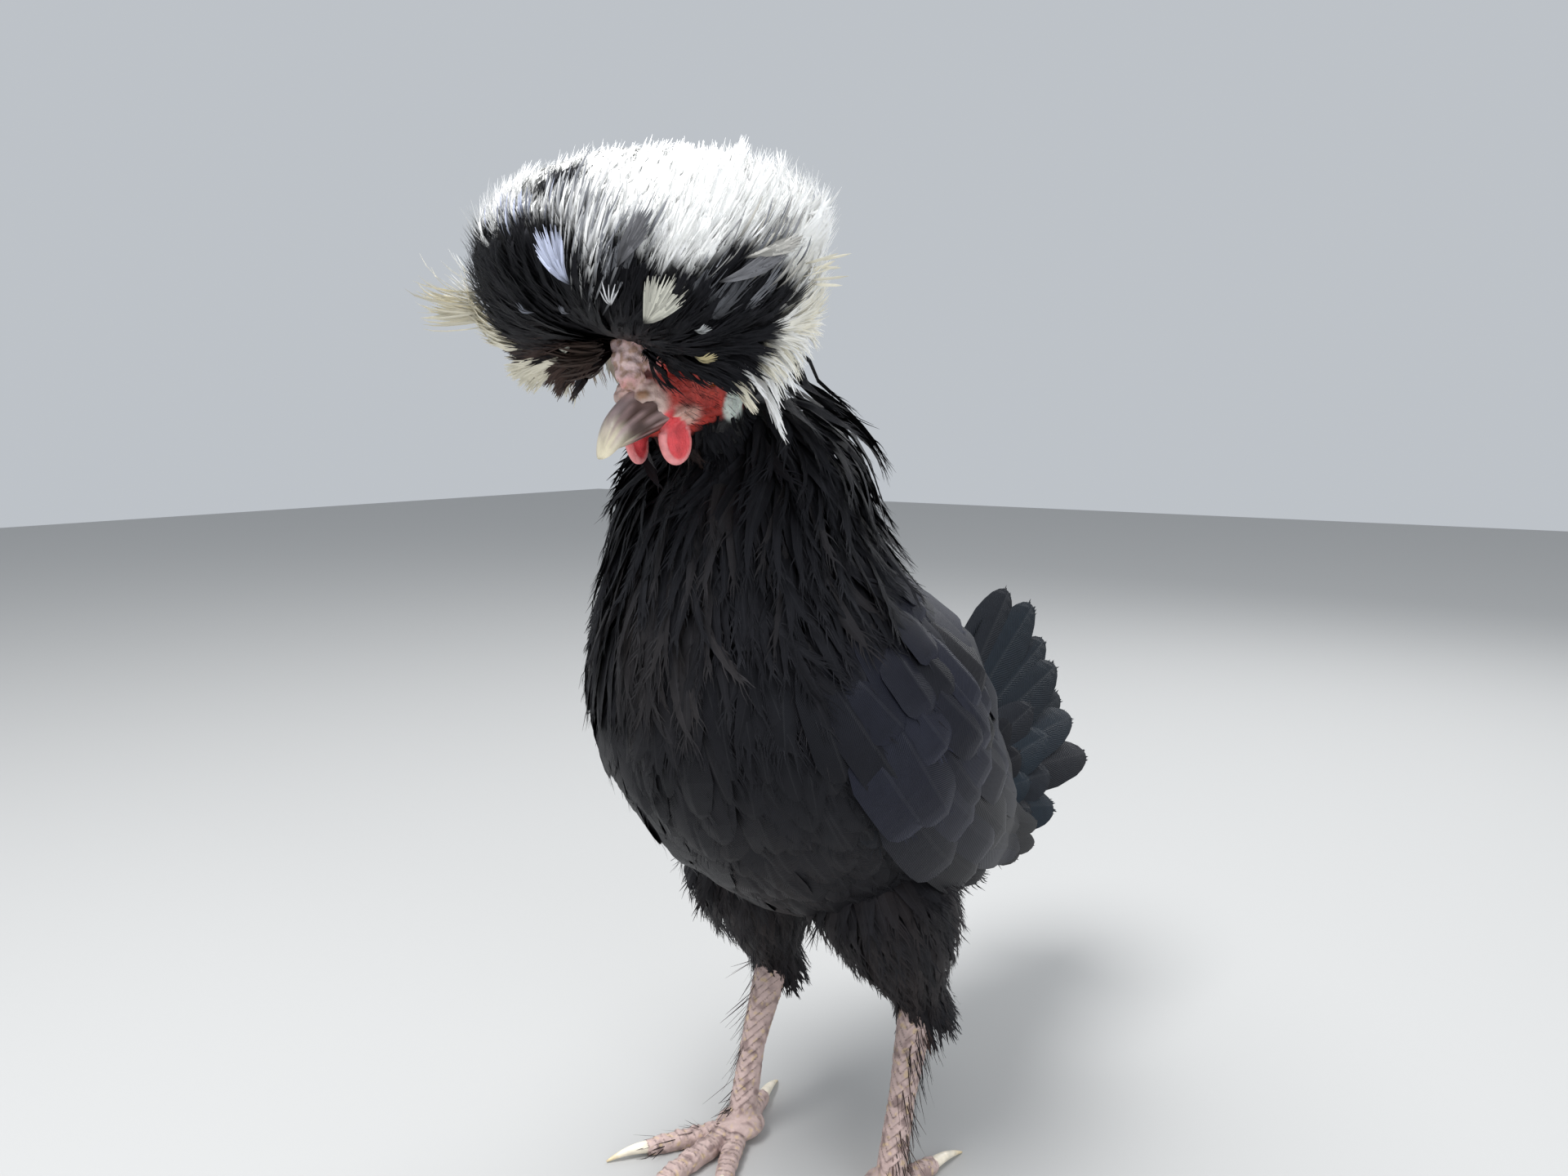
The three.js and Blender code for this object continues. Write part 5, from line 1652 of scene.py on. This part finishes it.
def crest_layers():
    """Every feather of the globe, from the under layer to the tufts."""
    turn, fall = globe_tips(8.0, -4)
    found = crest_tufts(turn, fall, rng.uniform(0.84, 0.9, len(turn)), 12, 5)
    for gap in (6.0, 6.2, 6.4):
        turn, fall = globe_tips(gap)
        high = smooth(80, 50, fall)
        low_reach = 0.91 + 0.035 * high
        reach = low_reach + (0.985 - low_reach) * rng.random(len(turn))
        found += crest_tufts(turn, fall, reach, 7.6 + 1.2 * high, 13, 3.0 + 4.0 * high)
    turn, fall = globe_tips(12)
    keep = (fall < 112) & (fall > np.where(turn > 0, 52, 66))
    reach = rng.uniform(0.97, 1.025, keep.sum())
    found += crest_tufts(turn[keep], fall[keep], reach, 4.5, 16, 2.0)
    for count, place, spread, reach, width, close, tint in TUFTS:
        turn, fall = scattered(count, *place, spread)
        found += crest_tufts(turn, fall, reach + rng.normal(0, 0.02, count), width, 18, close, tint)
    return found


print(sum(count for count, *_ in TUFTS), "feathers in", len(TUFTS), "tufts")

# %% [markdown]
# Finest of all are single barbs on the globe: pale feather ends among the black, whose barbs
# spread like a small fan, loose wisps that stand off the outline, and grey streaks in the cleft.

# %% Fans, wisps and streaks
BEND_RADIUS = 46


def splayed(turn, fall, tilt, length, width, tint, lift=1.0, dark=0.0, stand=0.0, stops=5):
    """Single barbs over the globe: each starts at its place and lies away from the parting,
    turned by tilt degrees. dark is the share at its root that keeps the black, and stand is
    the angle at which it leaves the globe."""
    turn, fall, tilt, length, width, stand = np.broadcast_arrays(
        *[np.asarray(v, float) for v in (turn, fall, tilt, length, width, stand)])
    here = crown(turn, fall, 1.0)
    up = unit(here - CREST_AT)
    away = here - crown(np.array(PARTING[0]), np.array(PARTING[1]))
    away = unit(away - up * (away * up).sum(-1, keepdims=True))
    side = np.cross(up, away)
    swing, rise = np.radians(tilt)[:, None], np.radians(stand)[:, None]
    go = (away * np.cos(swing) + side * np.sin(swing)) * np.cos(rise) + up * np.sin(rise)
    s = np.linspace(0, 1, stops)[None, :, None]
    far = s * length[:, None, None]
    height = lift * (0.2 + smooth(0, 0.4, s)) - far ** 2 / (2 * BEND_RADIUS)
    path = here[:, None] + go[:, None] * far + up[:, None] * height
    half = width[:, None] / 2 * np.interp(s[..., 0], [0, 0.3, 0.8, 1], [0.4, 1, 0.8, 0.1])
    shown = smooth(dark - 0.12, dark + 0.12, s)
    tint = BLACK + (np.broadcast_to(tint, (len(turn), 3))[:, None] - BLACK) * shown
    where = np.stack([(turn / 360) % 1, fall / 180], -1)
    outs = from_head(at_stops(up, stops)) - HEAD_AT
    return strips(from_head(path), outs, half, tint, where, rng.normal(0, 0.25, len(turn)))


def fan_of_barbs(count, turn, fall, tilt, spread, length, width, colour):
    """A feather's end: barbs from one place, the outer ones shorter."""
    off = np.linspace(-spread, spread, count) + rng.normal(0, 1.5, count)
    reach = length * (1 - 0.25 * (off / spread) ** 2) * rng.uniform(0.8, 1.08, count)
    tint = colour * rng.uniform(0.5, 1.05, (count, 1))
    at_turn, at_fall = np.full(count, turn), np.full(count, fall)
    return splayed(at_turn, at_fall, tilt + off, reach, width, tint, lift=2.2, dark=0.1)


def streaks(count, turn, fall, spread, length, low, high):
    """Pale barbs among the black, of shades from low to high."""
    at_turn, at_fall = scattered(count, turn, fall, spread)
    tint = low + (high - low) * rng.uniform(0, 1, (count, 1)) ** 1.5
    reach, tilt = rng.uniform(*length, count), rng.normal(0, 5, count)
    width = rng.uniform(0.3, 0.75, count)
    return splayed(at_turn, at_fall, tilt, reach, width, tint, dark=0.25)


def wisps(count, turn, fall, tilt, stand, length, colour):
    """Loose ends of long feathers that stand off the globe."""
    at_turn, at_fall = scattered(count, turn, fall, (2.5, 2.5))
    tint = colour * rng.uniform(0.8, 1.05, (count, 1))
    lean, up = tilt + rng.uniform(-16, 16, count), stand + rng.uniform(-14, 14, count)
    reach, width = rng.uniform(*length, count), rng.uniform(0.4, 1.1, count)
    return splayed(at_turn, at_fall, lean, reach, width, tint, lift=0.5, stand=up)


BROWN_DOWN = linear(64, 49, 42)
GREY, PALE_BLUE, IVORY = linear(120, 122, 128), linear(206, 213, 238), linear(222, 220, 206)
marks = [
    fan_of_barbs(34, 13.0, 92.5, 34, 24, 14, 0.7, PALE_BLUE),
    fan_of_barbs(40, 34.0, 109.5, 8, 31, 13.5, 0.7, IVORY),
    fan_of_barbs(30, 29.5, 88.0, -6, 15, 14.0, 0.7, linear(104, 104, 108)),
    fan_of_barbs(10, -24.5, 136.5, 10, 16, 6.5, 0.6, IVORY),
    fan_of_barbs(6, 49.0, 114.0, -10, 24, 4.2, 0.5, linear(176, 178, 178)),
    fan_of_barbs(9, 49.0, 128.0, -20, 22, 5.5, 0.5, linear(204, 190, 146)),
    fan_of_barbs(5, 25.0, 101.0, 25, 26, 6.5, 0.4, linear(236, 236, 238)),
    fan_of_barbs(5, -7.0, 102.0, 30, 20, 4.5, 0.5, linear(130, 134, 146)),
    fan_of_barbs(5, 4.0, 106.0, 20, 18, 3.5, 0.5, linear(120, 122, 130)),
    wisps(60, -51, 101, 8, 62, (14, 34), CREAM),
    wisps(30, -54, 95, 0, 44, (9, 18), WHITE),
    wisps(60, -11, 150, -50, 14, (10, 18), BROWN_DOWN),
    wisps(40, -24, 149, -45, 10, (9, 16), BROWN_DOWN),
    wisps(7, 94, 102, -30, 40, (8, 12), CREAM),
    wisps(9, 104, 80, -20, 24, (8, 14), WHITE),
    fan_of_barbs(26, 58.0, 98.0, -28, 9, 19, 0.8, linear(128, 128, 132)),
    fan_of_barbs(24, 67.0, 92.0, -34, 8, 18, 0.8, linear(206, 203, 196)),
    streaks(90, 20, 84, (3.5, 9), (9, 18), GREY, WHITE),
    streaks(40, 12, 60, (5, 4), (7, 12), GREY, WHITE),
    streaks(30, -4, 62, (8, 3), (5, 9), GREY, PALE_BLUE),
    streaks(40, 34, 76, (4, 4), (6, 12), GREY, WHITE),
    streaks(50, 74, 94, (8, 5), (8, 15), GREY, linear(200, 196, 186)),
]
print(sum(len(batch["points"]) for batch in marks), "single barbs in fans, wisps and streaks")

# %% [markdown]
# The crest leaves as pieces that stay within the export's limit for one piece. Feathers that are
# dark to the tip go in front, and pale ones to crown, sides or back by their turn.

# %% The crest's pieces
def chosen(batch, keep):
    return {key: value[keep] for key, value in batch.items()}


layers = crest_layers()
crest_pieces = {
    "crest_front": (lambda pale, turn: ~pale, black_feather),
    "crest_crown": (lambda pale, turn: pale & (np.abs(turn) <= 80), white_feather),
    "crest_side_left": (lambda pale, turn: pale & (turn > 80) & (turn <= 135), white_feather),
    "crest_side_right": (lambda pale, turn: pale & (turn < -80) & (turn >= -135), white_feather),
    "crest_back": (lambda pale, turn: pale & (np.abs(turn) > 135), white_feather),
}
for name, (rule, material) in crest_pieces.items():
    batches = []
    for batch, loose, owner, pale, turn in layers:
        keep = rule(pale, turn)
        if keep.any():
            batches += [chosen(batch, keep), chosen(loose, keep[owner])]
    plume = grow(name, batches, material, thickness=0.05, camber=0.06)
    print(sum(len(b["points"]) for b in batches[::2]), "feathers in", name)
    finished(plume, material, "crest", "crest")
finished(grow("crest_marks", marks, white_feather), white_feather, "crest", "crest")

# %% [markdown]
# ## Floor, light and camera
# A plain grey floor, a large soft lamp above and in front, a weak fill at the hen's left, a rim
# lamp behind her and a pale sky. Colours are shown as they are, without a film's curve.

# %% Floor, lamps and sky
FLOOR_GREY, SKY_BLUE = (0.46, 0.46, 0.455, 1), (0.85, 0.9, 0.96, 1)


def make_floor():
    bpy.ops.mesh.primitive_plane_add(size=6)
    floor = bpy.context.object
    floor.name = "floor"
    material, _, shader = new_material("pale_floor", 0.8)
    shader.inputs["Base Color"].default_value = FLOOR_GREY
    floor.data.materials.append(material)


def make_lamp(name, at, aim, size, power, colour=(1, 1, 1)):
    lamp = bpy.data.lights.new(name, "AREA")
    lamp.shape, lamp.size, lamp.energy, lamp.color = "DISK", size, power, colour
    holder = bpy.data.objects.new(name, lamp)
    holder.location = at
    holder.rotation_euler = (Vector(aim) - Vector(at)).to_track_quat("-Z", "Y").to_euler()
    bpy.context.scene.collection.objects.link(holder)
    print(name, "gives", power, "W")


def make_sky():
    world = bpy.data.worlds.new("pale_sky")
    world.use_nodes = True
    sky = world.node_tree.nodes["Background"]
    sky.inputs["Color"].default_value = SKY_BLUE
    sky.inputs["Strength"].default_value = 0.6
    bpy.context.scene.world = world


make_floor()
make_lamp("key_lamp", (-0.1, -0.55, 1.35), (0, -0.05, 0.25), 0.8, 24)
make_lamp("fill_lamp", (1.1, -0.6, 0.6), (0, -0.05, 0.2), 0.9, 5, (0.94, 0.97, 1.0))
make_lamp("rim_lamp", (0.1, 0.9, 0.9), (0, -0.05, 0.2), 0.8, 6)
make_sky()
bpy.context.scene.view_settings.view_transform = "Standard"

# %% [markdown]
# The camera's place follows from the head's place in the picture: its turn round the hen, its
# dip, its focal length in pixels and its distance from the head give where it stands.

# %% Camera
VIEW_TURN, VIEW_DIP = math.radians(35), math.radians(8)
FOCAL, IMAGE_WIDTH, SENSOR_WIDTH = 1450.0, 1920.0, 36.0
HEAD_FROM_MIDDLE = (-119.0, 248.0)
HEAD_AWAY = 0.330


def place_camera():
    level = np.array([math.sin(VIEW_TURN), -math.cos(VIEW_TURN), 0])
    back = level * math.cos(VIEW_DIP) + np.array([0, 0, math.sin(VIEW_DIP)])
    right = np.array([math.cos(VIEW_TURN), math.sin(VIEW_TURN), 0])
    up = np.cross(back, right)
    ray = unit(-back * FOCAL + right * HEAD_FROM_MIDDLE[0] + up * HEAD_FROM_MIDDLE[1])
    lens = bpy.data.cameras.new("camera")
    lens.sensor_fit, lens.sensor_width = "HORIZONTAL", SENSOR_WIDTH
    lens.lens = FOCAL / IMAGE_WIDTH * SENSOR_WIDTH
    lens.clip_start = 0.01
    camera = bpy.data.objects.new("camera", lens)
    camera.matrix_world = Matrix(np.column_stack([right, up, back]).tolist()).to_4x4()
    camera.location = to_frame(HEAD_AT) - ray * HEAD_AWAY
    bpy.context.scene.collection.objects.link(camera)
    bpy.context.scene.camera = camera
    print("the camera stands at", np.round(camera.location, 3))


place_camera()
